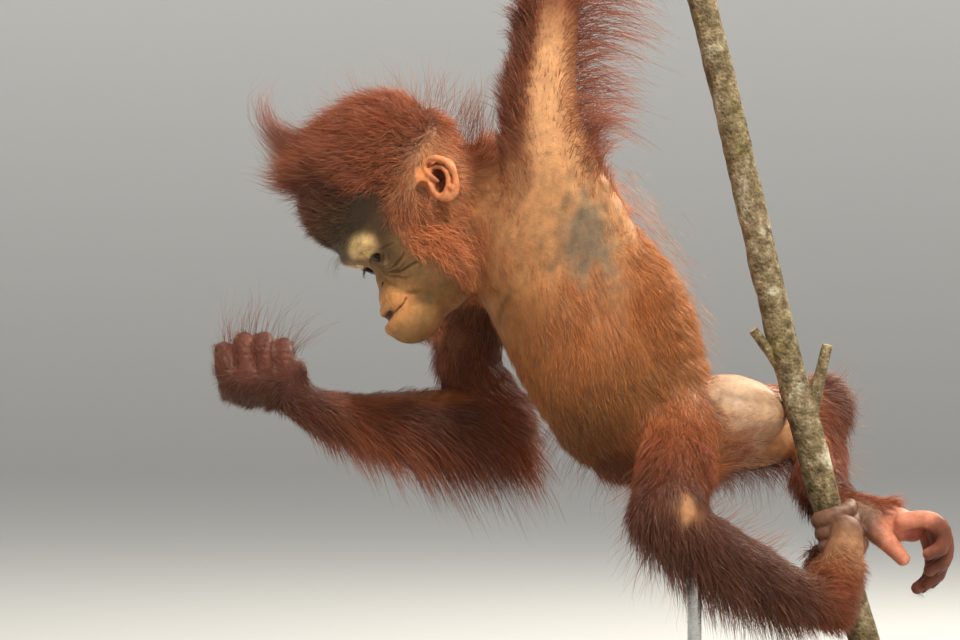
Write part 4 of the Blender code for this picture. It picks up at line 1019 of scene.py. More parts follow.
    # hands and feet: short, sparse, dark hair on their backs; none on palms, soles and digits
    def hand(mid, r, skin_name, d_len, d_den, back_dir, keep=0.0):
        nonlocal dens, length, Sc, Hc, L
        e = np.sqrt(((Q - mid) ** 2).sum(1))
        g = 1 - soft(e, r * 0.72, r * 1.1)
        bk = soft(N @ unit(back_dir), -0.1, 0.6)
        dens = lerp(dens, d_den * bk + keep, g)
        length = lerp(length, d_len + 0 * length, g)
        Sc = lerp(Sc, SKIN[skin_name], g[:, None])
        Hc = lerp(Hc, HAIR["dark"], (g * 0.6)[:, None])
        return g
    g = hand(at(252, 370, 0), 34, "fist", 6.5, .45, np.array((-0.2, -1, 0.0)))
    L = lerp(L, np.array((-0.5, 0, 0.6)), g[:, None])
    # the fist's lower side gets denser, longer, darker hair and dark skin: partly the hair there, partly painted shade
    # under the curled fingers
    low = g * soft(-(Q[:, 2] - at(0, 378, 0)[2]), -8, 9)
    dens = dens + 0.85 * low
    length = length + 2.5 * low
    Hc = lerp(Hc, HAIR["deep"], (low * 0.5)[:, None])
    L = lerp(L, np.array((-0.35, -0.1, -0.9)), low[:, None])
    Sc = lerp(Sc, SKIN["dark"], (low * 0.8)[:, None])
    g = hand(around_trunk(-292, 0, 0), 36, "fist", 6.0, .30, np.array((-1, -0.4, 0.0)))
    g = hand(around_trunk(-292, 180, 0), 30, "fist", 4.0, .12, np.array((1, 0.0, 0.0)))
    g = hand(at(843, 522, -24), 30, "foot", 4.5, .14, np.array((-0.2, -1, 0.2)))
    pale = np.exp(-((Q - at(838, 548, -46)) ** 2 / np.array((16, 14, 13)) ** 2).sum(1))
    Sc = lerp(Sc, SKIN["inner"], np.clip(pale * 1.1, 0, 1)[:, None] * .62)
    Hc = lerp(Hc, HAIR["pale"], (np.clip(pale * 1.3, 0, 1) * .75)[:, None])
    ank = np.exp(-((Q - at(832, 580, -46)) ** 2 / np.array((20, 20, 18)) ** 2).sum(1))
    dens = dens + 0.55 * ank + 0.50 * pale
    length = length + 5 * ank + 3 * pale
    Hc = lerp(Hc, HAIR["rust"], (ank * .7)[:, None])
    g = hand(at(920, 548, 0), 37, "sole", 4.0, .10, np.array((0.6, 0, 1.0)))
    toes = soft(Q[:, 0] - 0.35 * (Q[:, 2] - at(0, 530, 0)[2]), at(921, 0, 0)[0], at(936, 0, 0)[0]) * g
    Sc = lerp(Sc, lerp(SKIN["sole"], SKIN["fist"], 0.9) * 0.9, (toes * 0.95)[:, None])
    hollow = np.exp(-((Q - at(914, 533, -6)) ** 2 / np.array((8, 11, 7)) ** 2).sum(1)) * g
    Sc = lerp(Sc, rgb(150, 70, 54), np.clip(hollow * 1.2, 0, 1)[:, None] * 0.8)
    length = length * (1 + 0.16 * wobble(Q, 22, 11))
    L = L - N * (L * N).sum(1, keepdims=True)
    L = unit(L + 0.22 * np.stack([wobble(Q, 26, 21 + j) for j in range(3)], 1))
    return dict(region=best, lie=L, length=np.maximum(length, 1.2), dens=np.maximum(dens, 0), hair=Hc, skin=Sc, lift=lift, pull=Pu, uv=uv[best, np.arange(n)])


info = anatomy(V, N)

# ---- materials ------------------------------------------------------------------------------------------------------------------


def new_material(name):
    mat = bpy.data.materials.new(name)
    mat.use_nodes = True
    nt = mat.node_tree
    return mat, nt, nt.nodes["Principled BSDF"]


def node(nt, kind, **values):
    n = nt.nodes.new(kind)
    for key, val in values.items():
        if key in n.inputs.keys():
            n.inputs[key].default_value = val
        else:
            setattr(n, key, val)
    return n


def ramp(nt, fac, stops):
    r = nt.nodes.new("ShaderNodeValToRGB")
    while len(r.color_ramp.elements) < len(stops):
        r.color_ramp.elements.new(0.5)
    for e, (pos, col) in zip(r.color_ramp.elements, stops):
        e.position = pos
        e.color = (*col, 1.0) if len(col) == 3 else col
    nt.links.new(fac, r.inputs["Fac"])
    return r.outputs["Color"]


def mix_colour(nt, a, b, fac, mode="MIX"):
    m = nt.nodes.new("ShaderNodeMix")
    m.data_type, m.blend_type = "RGBA", mode
    for sock, val in ((m.inputs[6], a), (m.inputs[7], b)):
        if hasattr(val, "links"):
            nt.links.new(val, sock)
        else:
            sock.default_value = (*val, 1.0)
    if hasattr(fac, "links"):
        nt.links.new(fac, m.inputs[0])
    else:
        m.inputs[0].default_value = fac
    return m.outputs[2]


def skin_material():
    mat, nt, sh = new_material("bare_skin")
    co = node(nt, "ShaderNodeTexCoord").outputs["Object"]
    tint = node(nt, "ShaderNodeAttribute", attribute_name="tint").outputs["Color"]
    n1 = node(nt, "ShaderNodeTexNoise", Scale=160.0, Detail=4.0, Roughness=0.6)
    n2 = node(nt, "ShaderNodeTexNoise", Scale=1100.0, Detail=3.0, Roughness=0.6)
    vor = node(nt, "ShaderNodeTexVoronoi", Scale=900.0)
    for n in (n1, n2, vor):
        nt.links.new(co, n.inputs["Vector"])
    blotch = ramp(nt, n1.outputs["Fac"], ((0.30, (0.80, 0.78, 0.78)), (0.70, (1.16, 1.12, 1.08))))
    c = mix_colour(nt, tint, blotch, 1.0, "MULTIPLY")
    fine = ramp(nt, n2.outputs["Fac"], ((0.25, (0.86, 0.86, 0.86)), (0.75, (1.10, 1.10, 1.10))))
    c = mix_colour(nt, c, fine, 1.0, "MULTIPLY")
    nt.links.new(c, sh.inputs["Base Color"])
    add_ = nt.nodes.new("ShaderNodeMath")
    add_.operation = "ADD"
    nt.links.new(vor.outputs["Distance"], add_.inputs[0])
    nt.links.new(n2.outputs["Fac"], add_.inputs[1])
    bump = node(nt, "ShaderNodeBump", Strength=0.42, Distance=0.00032)
    nt.links.new(add_.outputs[0], bump.inputs["Height"])
    nt.links.new(bump.outputs["Normal"], sh.inputs["Normal"])
    rough = ramp(nt, n1.outputs["Fac"], ((0.3, (0.46,) * 3), (0.7, (0.62,) * 3)))
    nt.links.new(rough, sh.inputs["Roughness"])
    sh.inputs["Specular IOR Level"].default_value = 0.30
    sh.inputs["Subsurface Weight"].default_value = 0.10
    sh.inputs["Subsurface Radius"].default_value = (0.0035, 0.0014, 0.0008)
    sh.inputs["Subsurface Scale"].default_value = 1.0
    return mat


def coat_material(name, rough=0.5):
    mat, nt, sh = new_material(name)
    co = node(nt, "ShaderNodeTexCoord").outputs["Object"]
    tint = node(nt, "ShaderNodeAttribute", attribute_name="tint").outputs["Color"]
    n1 = node(nt, "ShaderNodeTexNoise", Scale=420.0, Detail=3.0, Roughness=0.6)
    nt.links.new(co, n1.inputs["Vector"])
    var = ramp(nt, n1.outputs["Fac"], ((0.25, (0.78, 0.76, 0.74)), (0.75, (1.22, 1.2, 1.16))))
    nt.links.new(mix_colour(nt, tint, var, 1.0, "MULTIPLY"), sh.inputs["Base Color"])
    sh.inputs["Roughness"].default_value = rough
    sh.inputs["Specular IOR Level"].default_value = 0.55
    sh.inputs["Sheen Weight"].default_value = 0.25
    sh.inputs["Sheen Roughness"].default_value = 0.35
    sh.inputs["Sheen Tint"].default_value = (1.0, 0.80, 0.62, 1.0)
    return mat


SKIN_MAT = skin_material()
COAT_MAT = coat_material("coat")

co = (V * 0.001).astype(F32)
me.vertices.foreach_set("co", co.ravel())
me.polygons.foreach_set("use_smooth", np.ones(len(me.polygons), bool))
tone = me.attributes.new("tint", "FLOAT_COLOR", "POINT")
mot = (1 + 0.07 * wobble(V, 9, 31) + 0.05 * wobble(V, 4, 32))[:, None]
# skin under dense, long hair takes the hair's colour and is darkened: partly the hair's own colour, partly painted
# shade under the coat
under_coat_tone_and_shade = np.clip(info["dens"] * 1.4, 0, 1)[:, None] * soft(info["length"], 5, 10)[:, None]
# painted shade: the skin is darkened along the pressed-in folds, where shade falls in the creases
painted_crease_shade = np.zeros(len(V))
for kind, shape, k, depth in shapes:
    if kind == DENT and depth > 0:
        m = np.nonzero(((V > shape.box[0] - 4) & (V < shape.box[1] + 4)).all(1))[0]
        if len(m):
            painted_crease_shade[m] = np.maximum(painted_crease_shade[m], shape.press(V[m], 0.72) / 1.5)
info["skin"] = info["skin"] * (1 - 0.55 * np.clip(painted_crease_shade, 0, 1)[:, None])
sk_col = lerp(info["skin"], lerp(info["skin"], info["hair"], 0.6) * 0.62, under_coat_tone_and_shade * 0.75) * mot
tone.data.foreach_set("color", np.concatenate((np.clip(sk_col, 0, 1), np.ones((len(V), 1))), 1).astype(F32).ravel())
me.materials.append(SKIN_MAT)
me.update()
skin = bpy.data.objects.new("skin", me)
bpy.context.scene.collection.objects.link(skin)
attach(skin, "root")
FLESH = ["head", "neck", "chest", "belly", "hips", "upper_arm_left", "forearm_left", "hand_left", "upper_arm_right",
         "forearm_right", "hand_right", "thigh_left", "shank_left", "foot_left", "thigh_right", "shank_right", "foot_right",
         "ear_left", "ear_right"]
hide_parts(*FLESH)

# ---- the coat -------------------------------------------------------------------------------------------------------------------


def tri_table():
    n = len(me.polygons)
    me.calc_loop_triangles()
    T = np.zeros(len(me.loop_triangles) * 3, np.int32)
    me.loop_triangles.foreach_get("vertices", T)
    return T.reshape(-1, 3)


TRI = tri_table()


def scatter(density, total_scale=1.0):
    """Places on the skin: density is tufts per mm2 at each vertex."""
    a, b, c = V[TRI[:, 0]], V[TRI[:, 1]], V[TRI[:, 2]]
    area = np.linalg.norm(np.cross(b - a, c - a), axis=1) / 2
    w = area * density[TRI].mean(1) * total_scale
    cum = np.cumsum(w)
    n = int(cum[-1])
    pick = np.searchsorted(cum, (np.arange(n) + rng.random(n)) * (cum[-1] / n))
    pick = np.minimum(pick, len(TRI) - 1)
    r1, r2 = np.sqrt(rng.random(n)), rng.random(n)
    bary = np.stack((1 - r1, r1 * (1 - r2), r1 * r2), 1)
    t = TRI[pick]
    P = np.einsum("nk,nkj->nj", bary, V[t])
    nn = unit(np.einsum("nk,nkj->nj", bary, N[t]))
    return P, nn


def grow(P, nn, A, clump=0.55, clump_every=10, steps=4, droop=0.25, curl=0.12, spread=0.16, least=0.72):
    """Paths of the tufts: they leave the skin at their lift, bend with their weight, and gather toward shared tips."""
    n = len(P)
    L = A["length"] * rng.uniform(least, 1.94 - least, n) ** (1 if least > 0.6 else 1.15)
    lift = np.radians(A["lift"]) * rng.uniform(0.55, 1.5, n)
    d = A["lie"] + spread * rng.normal(size=(n, 3))
    d = unit(d - nn * (d * nn).sum(1, keepdims=True))
    d = unit(d * np.cos(lift)[:, None] + nn * np.sin(lift)[:, None])
    side = unit(np.cross(d, nn))
    paths = np.zeros((n, steps + 1, 3))
    p = P - nn * 0.35
    paths[:, 0] = p
    step = (L / steps)[:, None]
    phase = rng.uniform(0, 6.28, n)
    bend = curl * rng.normal(size=n)
    for k in range(1, steps + 1):
        t = k / steps
        p = p + d * step
        paths[:, k] = p
        d = unit(d + A["pull"] * (droop * (L / 30) / steps * 1.6)[:, None] + side * (bend * 1.5 / steps + 0.05 * np.sin(phase + t * 5) * curl * 8)[:, None]
                 + nn * (0.03 / steps))
    # gather
    heads = rng.permutation(n)[:max(1, n // clump_every)]
    tree = KDTree(len(heads))
    for j, i in enumerate(heads):
        tree.insert(P[i], j)
    tree.balance()
    owner = np.array([tree.find(q)[1] for q in P.tolist()])
    lead = heads[owner]
    t = np.linspace(0, 1, steps + 1)[None, :, None]
    gap = np.linalg.norm(P - P[lead], axis=1)
    hold = (clump * rng.uniform(0.6, 1.1, n) * (gap < 9) * np.clip(L / np.maximum(L[lead], 1), 0, 1) * (L[lead] < 1.8 * L + 4))[:, None, None]
    shift = (P - P[lead])[:, None]
    target = paths[lead] + shift * (1 - t * 0.9)
    paths = lerp(paths, target, np.clip(hold * t ** 1.3, 0, 0.95))
    return paths, L, owner


def tufts(name, paths, colour_root, colour_tip, width, uv, mat=None, region=None):
    """Three-sided tapering tufts as one mesh, with their OFBake map: each lies in a small patch at its root's place."""
    n, m, _ = paths.shape
    steps = m - 1
    tan = unit(np.gradient(paths, axis=1))
    ref = unit(rng.normal(size=(n, 1, 3)))
    s = unit(np.cross(tan, ref))
    u = np.cross(s, tan)
    t = np.linspace(0, 1, m)
    taper = (1 - t[:-1] ** 1.7) * 0.92 + 0.08
    taper[0] = 0.8
    r = (width / 2)[:, None] * taper[None]
    ring = np.zeros((n, steps, 3, 3))
    for j in range(3):
        w = 2 * math.pi * j / 3
        ring[:, :, j] = paths[:, :-1] + (s[:, :-1] * math.cos(w) + u[:, :-1] * math.sin(w)) * r[..., None]
    per = steps * 3 + 1
    verts = np.concatenate((ring.reshape(n, steps * 3, 3), paths[:, -1:]), 1).reshape(-1, 3)
    faces4, faces3 = [], []
    for k in range(steps - 1):
        for j in range(3):
            i = (j + 1) % 3
            faces4.append((k * 3 + j, k * 3 + i, (k + 1) * 3 + i, (k + 1) * 3 + j))
    for j in range(3):
        faces3.append(((steps - 1) * 3 + j, (steps - 1) * 3 + (j + 1) % 3, steps * 3))
    base = (np.arange(n) * per)[:, None]
    loops = np.concatenate([np.array([x for f in faces4 for x in f] + [x for f in faces3 for x in f], np.int64)[None] + base], 1)
    starts_one = np.concatenate((np.arange(len(faces4)) * 4, len(faces4) * 4 + np.arange(len(faces3)) * 3))
    per_loops = loops.shape[1]
    starts = (starts_one[None] + (np.arange(n) * per_loops)[:, None]).ravel()
    mesh = bpy.data.meshes.new(name)
    mesh.vertices.add(len(verts))
    mesh.vertices.foreach_set("co", (verts * 0.001).astype(F32).ravel())
    mesh.loops.add(loops.size)
    mesh.loops.foreach_set("vertex_index", loops.ravel().astype(np.int32))
    mesh.polygons.add(len(starts))
    mesh.polygons.foreach_set("loop_start", starts.astype(np.int32))
    mesh.polygons.foreach_set("use_smooth", np.ones(len(starts), bool))
    tt = np.repeat(t[:-1], 3).tolist() + [1.0]
    w = np.array(tt)[None, :, None] ** 1.2
    col = np.clip(lerp(colour_root[:, None], colour_tip[:, None], w), 0, 1)
    col = np.concatenate((col, np.ones((*col.shape[:2], 1))), 2)
    at_ = mesh.attributes.new("tint", "FLOAT_COLOR", "POINT")
    at_.data.foreach_set("color", col.astype(F32).ravel())
    lay = mesh.uv_layers.new(name="OFBake")
    du = np.tile(np.array((0, .5, 1.0)), steps).tolist() + [0.5]
    vu = np.stack((uv[:, None, 0] + 0.003 * (np.array(du) - 0.5)[None], uv[:, None, 1] + 0.003 * (np.array(tt) - 0.5)[None]), 2).reshape(-1, 2)
    lay.data.foreach_set("uv", vu[loops.ravel()].astype(F32).ravel())
    mesh.materials.append(mat or COAT_MAT)
    mesh.update()
    mesh.validate()
    ob = bpy.data.objects.new(name, mesh)
    bpy.context.scene.collection.objects.link(ob)
    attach(ob, "root")
    tris = n * (len(faces4) * 2 + len(faces3))
    return tris


GROUPS = {"torso": "coat_body", "neck": "coat_neck", "arm_left": "coat_arm_left", "arm_right": "coat_arm_right",
          "forearm_right": "coat_forearm_right", "thigh_left": "coat_leg_left", "shank_left": "coat_shin_left",
          "thigh_right": "coat_leg_right", "shank_right": "coat_shin_right", "head": "coat_head"}
MOST = 190000


def coat(prefix, P, nn, A, keep, steps, width, tag="", tip=1.25, root=0.62, shine=0.08, **kw):
    """One layer of tufts over the chosen places, in pieces by part of the body."""
    total = 0
    P, nn = P[keep], nn[keep]
    A = {k: v[keep] for k, v in A.items()}
    paths, L, owner = grow(P, nn, A, steps=steps, **kw)
    n = len(P)
    clump_tone = np.random.default_rng(8).uniform(0.80, 1.24, n)[owner] * rng.uniform(0.82, 1.20, n)
    hue = rng.normal(size=(n, 1)) * 0.05
    base = A["hair"] * clump_tone[:, None] * np.concatenate((1 + hue, 1 - 0.3 * hue, 1 - hue), 1)
    # painted highlight: a few tufts in each layer get pale tips, standing for sunlit strands
    light = (rng.random(n) < shine)[:, None]
    # tufts darker at the root and lighter at the tip: partly the hair's own colour, partly painted shade deep in the
    # coat and painted glow on lit tips
    tipc = base * tip
    tipc = lerp(tipc, np.maximum(tipc, HAIR["pale"] * 0.8), light * 0.6)
    w = width * rng.uniform(0.75, 1.25, n) * np.clip(A["length"] / 11, 0.42, 1.15)
    for i, name in enumerate(REGIONS):
        m = A["region"] == i
        if not m.any():
            continue
        idx = np.nonzero(m)[0]
        per = 6 * (steps - 1) + 3
        parts = max(1, math.ceil(len(idx) * per / MOST))
        order = idx[np.argsort(A["uv"][idx, 1], kind="stable")]
        for j, part in enumerate(np.array_split(order, parts)):
            label = GROUPS[name] + tag + (f"_{j + 1}" if parts > 1 else "")
            total += tufts(label, paths[part], (base * root)[part], tipc[part], w[part], A["uv"][part])
    return total


P, nn = scatter(info["dens"], 1.0)
A = anatomy(P, nn)
print("roots", len(P))
count = 0
on_head = A["region"] == len(REGIONS) - 1
long_ = A["length"] > 21
mid = (A["length"] <= 21) & (A["length"] > 5.5)
short = A["length"] <= 5.5
print("long", long_.sum(), "mid", mid.sum(), "short", short.sum())
count += coat("coat", P, nn, A, long_ & ~on_head, 4, 0.33, "_long", clump=0.66, clump_every=12, droop=0.95, curl=0.42, spread=0.34, least=0.48, shine=0.14)
count += coat("coat", P, nn, A, mid & ~on_head, 2, 0.34, "", clump=0.32, clump_every=7, droop=0.35, curl=0.16, spread=0.24, shine=0.13)
count += coat("coat", P, nn, A, short & ~on_head, 1, 0.34, "_short", clump=0.1, clump_every=6, droop=0.1, curl=0.05)
count += coat("coat", P, nn, A, (long_ | mid) & on_head, 3, 0.30, "", clump=0.50, clump_every=12, droop=0.7, curl=0.6, spread=0.36, tip=1.6, root=0.5, least=0.58, shine=0.16)
count += coat("coat", P, nn, A, short & on_head, 1, 0.24, "_short", clump=0.1, clump_every=6, droop=0.1, curl=0.05, spread=0.4)


def bend_line(points, many):
    """A smooth line through the points, as that many even steps."""
    T = Tube([(np.asarray(p, float), 0.1, 0.1) for p in points], step=1.5)
    want = np.linspace(0, T.length[-1], many)
    return np.stack([np.interp(want, T.length, T.p[:, j]) for j in range(3)], 1)


def strands(name, guides, n, spread0, spread1, width, colour, tip, steps=6, wild=0.6, ends=(0.55, 1.0), uv_of=None):
    """Loose hairs that follow the guide lines, spreading or gathering along them."""
    many = 25
    G = np.array([bend_line(g, many) for g in guides])
    pick = rng.integers(0, len(G), n)
    mixw = rng.random((n, 1, 1)) * 0.6
    near_one = (pick + rng.integers(0, 2, n) * 2 - 1) % len(G)
    mixw = mixw * (np.linalg.norm(G[pick][:, 0] - G[near_one][:, 0], axis=1) < 30)[:, None, None]
    g = lerp(G[pick], G[near_one], mixw if len(G) > 1 else 0 * mixw)
    t = np.linspace(0, 1, many)[None, :, None]
    off = rng.normal(size=(n, 1, 3)) * np.array((1, 1, 1))
    path = g + off * (spread0 * (1 - t) + spread1 * t)
    ph, fr = rng.uniform(0, 6.28, (n, 1, 3)), rng.uniform(3, 8, (n, 1, 3))
    path = path + wild * t * np.sin(ph + fr * t)
    end = rng.uniform(*ends, n)
    want = np.linspace(0, 1, steps + 1)[None] * end[:, None] * (many - 1)
    i = np.minimum(want.astype(int), many - 2)
    w = (want - i)[..., None]
    k = np.arange(n)[:, None]
    path = path[k, i] * (1 - w) + path[k, i + 1] * w
    shade = rng.uniform(0.75, 1.25, (n, 1))
    # roots at 0.6 of the colour and tips at the tip colour: partly the hairs' own colours, partly painted shade in the
    # coat and painted glow on the tips
    return tufts(name, path, colour * shade * 0.6, tip * shade, width * rng.uniform(0.8, 1.2, n),
                 np.tile(np.array(uv_of), (n, 1)) + rng.uniform(-0.02, 0.02, (n, 2)))


# the forelock, swept forward and curled up at its tip
count += strands("coat_forelock", [
    [at(342, 162, -4), at(314, 160, -6), at(290, 151, -8), at(271, 139, -8), at(259, 123, -7), at(254, 106, -6), at(256, 92, -4), at(266, 80, -3), at(276, 73, -2)],
    [at(340, 156, 4), at(318, 149, 3), at(297, 142, 2), at(281, 132, 1), at(271, 118, 0), at(268, 103, 0), at(272, 92, 0)],
    [at(336, 170, -10), at(312, 167, -13), at(292, 161, -14), at(276, 150, -13), at(266, 139, -11), at(260, 126, -9)],
    [at(346, 148, 6), at(325, 140, 5), at(305, 133, 4), at(290, 122, 3), at(282, 109, 2)],
    [at(338, 176, -6), at(308, 178, -8), at(286, 170, -8), at(268, 157, -8), at(256, 140, -7), at(250, 124, -6)],
    [at(344, 150, -12), at(322, 147, -14), at(303, 144, -15), at(289, 136, -14), at(280, 124, -12)],
], 1200, 5.6, 1.6, 0.29, HAIR["deep"], HAIR["crown"] * 1.2, steps=6, wild=1.8, ends=(0.40, 1.0), uv_of=(0.5, 0.35))
# loose hairs over the crown and the nape
roots = []
for u, v, y, du, dv, dy in (
    (300, 175, 0, -16, 2, 0), (296, 190, -6, -15, 6, -2), (330, 128, 0, -22, -16, 2), (350, 118, -8, -20, -20, -3), (372, 108, 6, -18, -22, 3),
    (395, 100, -4, -14, -24, 0), (418, 96, 6, -6, -26, 4), (440, 100, -10, 6, -24, -4), (455, 112, 0, 14, -20, 2), (466, 128, -12, 12, -26, -4),
    (476, 142, 4, 6, -34, 0), (470, 136, -20, 2, -36, -4), (484, 150, -10, 8, -38, 0), (462, 120, 14, 10, -28, 4), (478, 148, 18, 8, -34, 4),
    (310, 150, -30, -20, -8, -14), (350, 130, -38, -16, -16, -16), (398, 118, -42, -6, -22, -14), (438, 120, -38, 8, -18, -14),
    (310, 150, 30, -20, -8, 14), (350, 130, 38, -16, -16, 16), (398, 118, 42, -6, -22, 14), (438, 120, 38, 8, -18, 14),
):
    roots.append([at(u - du * .3, v - dv * .3, y - dy * .3), at(u + du * .5, v + dv * .5, y + dy * .5), at(u + du * 1.1, v + dv * 1.2, y + dy),
                  at(u + du * 1.5, v + dv * 1.9, y + dy * 1.3)])
count += strands("coat_loose", roots, 620, 5.5, 5.0, 0.21, HAIR["rust"], HAIR["nape"], steps=6, wild=4.2, ends=(0.45, 1.0), uv_of=(0.5, 0.6))
# hairs that rise from the knuckles of the closed hand
rise = []
for u, v, y, a_, b_ in ((226, 356, -6, 6, -60), (236, 345, -8, 10, -72), (246, 342, -4, 16, -66), (256, 343, 0, 12, -74), (268, 344, -6, 24, -60),
                        (282, 347, -4, 34, -48), (292, 356, 0, 40, -34), (232, 350, 4, -8, -52)):
    rise.append([at(u, v + 4, y), at(u + a_ * .2, v + b_ * .3, y - 2), at(u + a_ * .55, v + b_ * .65, y - 1), at(u + a_, v + b_, y)])
count += strands("coat_wrist", rise, 150, 2.8, 4.0, 0.22, HAIR["dark"], HAIR["rust"], steps=7, wild=5.0, ends=(0.35, 1.0), uv_of=(0.5, 0.9))
# lashes and the few long hairs of the brow
lash = []
for s_ in (1, -1):
    for k in range(8):
        c = (11.0 + 1.7 * k) * s_
        lash.append([head(59.4 - 0.25 * abs(k - 3), c, 5.0 - 0.10 * (k - 3) ** 2), head(62.0, c * 1.01, 4.4), head(64.2, c * 1.03, 2.6), head(65.6, c * 1.04, 0.2)])
count += strands("coat_lashes", lash, 60, 0.25, 0.5, 0.17, HAIR["deep"] * 0.5, HAIR["deep"] * 0.6, steps=4, wild=0.2, ends=(0.55, 1.0), uv_of=(0.5, 0.2))
brow = []
for s_ in (1, -1):
    for k in range(6):
        c = (4 + 4.6 * k) * s_
        brow.append([head(59, c, 19 + k), head(67, c, 19 + k), head(74, c * 1.05, 15 + k), head(80, c * 1.1, 8)])
count += strands("coat_brow", brow, 70, 2.4, 3.2, 0.11, rgb(112, 84, 46), rgb(150, 116, 66), steps=4, wild=1.2, ends=(0.25, 0.8), uv_of=(0.5, 0.25))
edge_hair = []
for u, v, y, du, dv, dy in (
    (700, 512, -92, 22, -20, -4), (718, 522, -88, 26, -18, -2), (738, 534, -80, 26, -14, 0), (758, 546, -74, 24, -14, 0), (684, 486, -88, 24, -18, -6),
    (640, 470, -70, -26, 22, -4), (636, 500, -86, -28, 26, -4), (640, 530, -96, -24, 34, -2), (650, 545, -96, -14, 38, -2), (672, 560, -92, -4, 38, 0),
    (700, 568, -86, 2, 34, 0), (724, 578, -80, 8, 32, 0), (750, 588, -72, 12, 28, 0), (776, 600, -62, 12, 24, 0),
    (700, 395, -40, 14, 22, -6), (702, 420, -42, 12, 24, -6), (700, 444, -46, 12, 24, -6), (698, 462, -60, 12, 22, -8),
    (720, 470, 30, 6, 26, -4), (745, 472, 38, 4, 28, -4), (770, 470, 48, 0, 28, -2), (792, 462, 58, -4, 28, 0),
    (526, 392, 52, 22, 16, 0), (530, 410, 54, 24, 22, 0), (530, 430, 56, 24, 30, 0), (524, 448, 56, 20, 38, 0), (505, 458, 54, 16, 40, 0),
    (552, 436, 10, -14, 28, 0), (572, 452, -20, -12, 28, -4), (596, 464, -10, -10, 28, 0), (620, 474, -30, -8, 26, -4),
    (846, 396, 90, 26, -10, 4), (850, 420, 82, 28, 4, 4), (846, 446, 66, 28, 12, 2), (846, 470, 50, 26, 14, 0), (836, 384, 92, 20, -22, 4),
):
    edge_hair.append([at(u - du * .25, v - dv * .25, y - dy * .2), at(u + du * .45, v + dv * .35, y + dy * .5),
                      at(u + du * .95, v + dv * .85, y + dy), at(u + du * 1.3, v + dv * 1.6, y + dy * 1.3)])
count += strands("coat_edges", edge_hair, 1150, 5.2, 5.0, 0.20, HAIR["rust"], HAIR["flank"], steps=4, wild=3.4, ends=(0.35, 1.0), uv_of=(0.5, 0.7))
back_hair = []
for k in range(9):
    u, v = np.interp(k, (0, 2, 4, 6, 8), (624, 652, 678, 694, 702)), np.interp(k, (0, 2, 4, 6, 8), (190, 226, 272, 322, 372))
    for y in (-34, -8, 22):
        back_hair.append([at(u - 8, v - 6, y), at(u + 6, v + 6, y * 1.05), at(u + 17, v + 22, y * 1.1), at(u + 22, v + 42, y * 1.1)])
count += strands("coat_back", back_hair, 700, 7.0, 5.0, 0.22, HAIR["flank"], HAIR["back"] * 1.15, steps=4, wild=2.4, ends=(0.15, 0.52), uv_of=(0.5, 0.8))
print("coat triangles", count)

# ---- nails: small curved plates at the ends of the fingers and toes ----------------------------------------------------------
nail_v, nail_f = [], []
for digit in DIGITS:
    i = len(digit.p) - 2
    t = digit.t[i]
    bend = digit.t[i] - digit.t[max(i - 5, 0)]
    out = -unit(bend - t * (bend @ t)) if np.linalg.norm(bend) > 0.05 else digit.a[i]
    side = np.cross(t, out)
    r = digit.x[i, 0]
    spot, _ = settle((digit.p[i] + out * r + t * r * 0.25)[None], 3)
    base = len(nail_v)
    rows, cols = 7, 12
    for a_ in range(rows):
        lat = math.pi * (a_ + 0.5) / rows - math.pi / 2
        for c_ in range(cols):
            lon = 2 * math.pi * c_ / cols
            x, y, z = math.cos(lat) * math.cos(lon), math.cos(lat) * math.sin(lon), math.sin(lat)
            q = t * x * r * 0.72 + side * y * r * 0.60 + out * (z * 0.42 - 0.20 * y * y * r * 0.5)
            nail_v.append(spot[0] + q + out * 0.05)
    for a_ in range(rows - 1):
        for c_ in range(cols):
            n_ = (c_ + 1) % cols
            nail_f.append([base + a_ * cols + c_, base + a_ * cols + n_, base + (a_ + 1) * cols + n_, base + (a_ + 1) * cols + c_])
    nail_f.append([base + c_ for c_ in range(cols)][::-1])
    nail_f.append([base + (rows - 1) * cols + c_ for c_ in range(cols)])
nail_mesh = bpy.data.meshes.new("nails")
nail_mesh.from_pydata([tuple(0.001 * x for x in q) for q in nail_v], [], nail_f)
nail_mesh.polygons.foreach_set("use_smooth", [True] * len(nail_mesh.polygons))
nail_bm = bmesh.new()
nail_bm.from_mesh(nail_mesh)
bmesh.ops.recalc_face_normals(nail_bm, faces=nail_bm.faces)
nail_bm.to_mesh(nail_mesh)
nail_bm.free()
nail_mat = bpy.data.materials.new("nail")
nail_mat.use_nodes = True
nt = nail_mat.node_tree
sh = nt.nodes["Principled BSDF"]
noise = nt.nodes.new("ShaderNodeTexNoise")
noise.inputs["Scale"].default_value = 900
tone = nt.nodes.new("ShaderNodeValToRGB")
tone.color_ramp.elements[0].color = (*rgb(52, 36, 28), 1)
tone.color_ramp.elements[1].color = (*rgb(96, 70, 54), 1)
where = nt.nodes.new("ShaderNodeTexCoord")
nt.links.new(where.outputs["Object"], noise.inputs["Vector"])
nt.links.new(noise.outputs["Fac"], tone.inputs["Fac"])
nt.links.new(tone.outputs["Color"], sh.inputs["Base Color"])
sh.inputs["Roughness"].default_value = 0.35
nail_mesh.materials.append(nail_mat)
nails = bpy.data.objects.new("nails", nail_mesh)
bpy.context.scene.collection.objects.link(nails)
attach(nails, "root")

# ---- eyes ---------------------------------------------------------------------------------------------------------------------


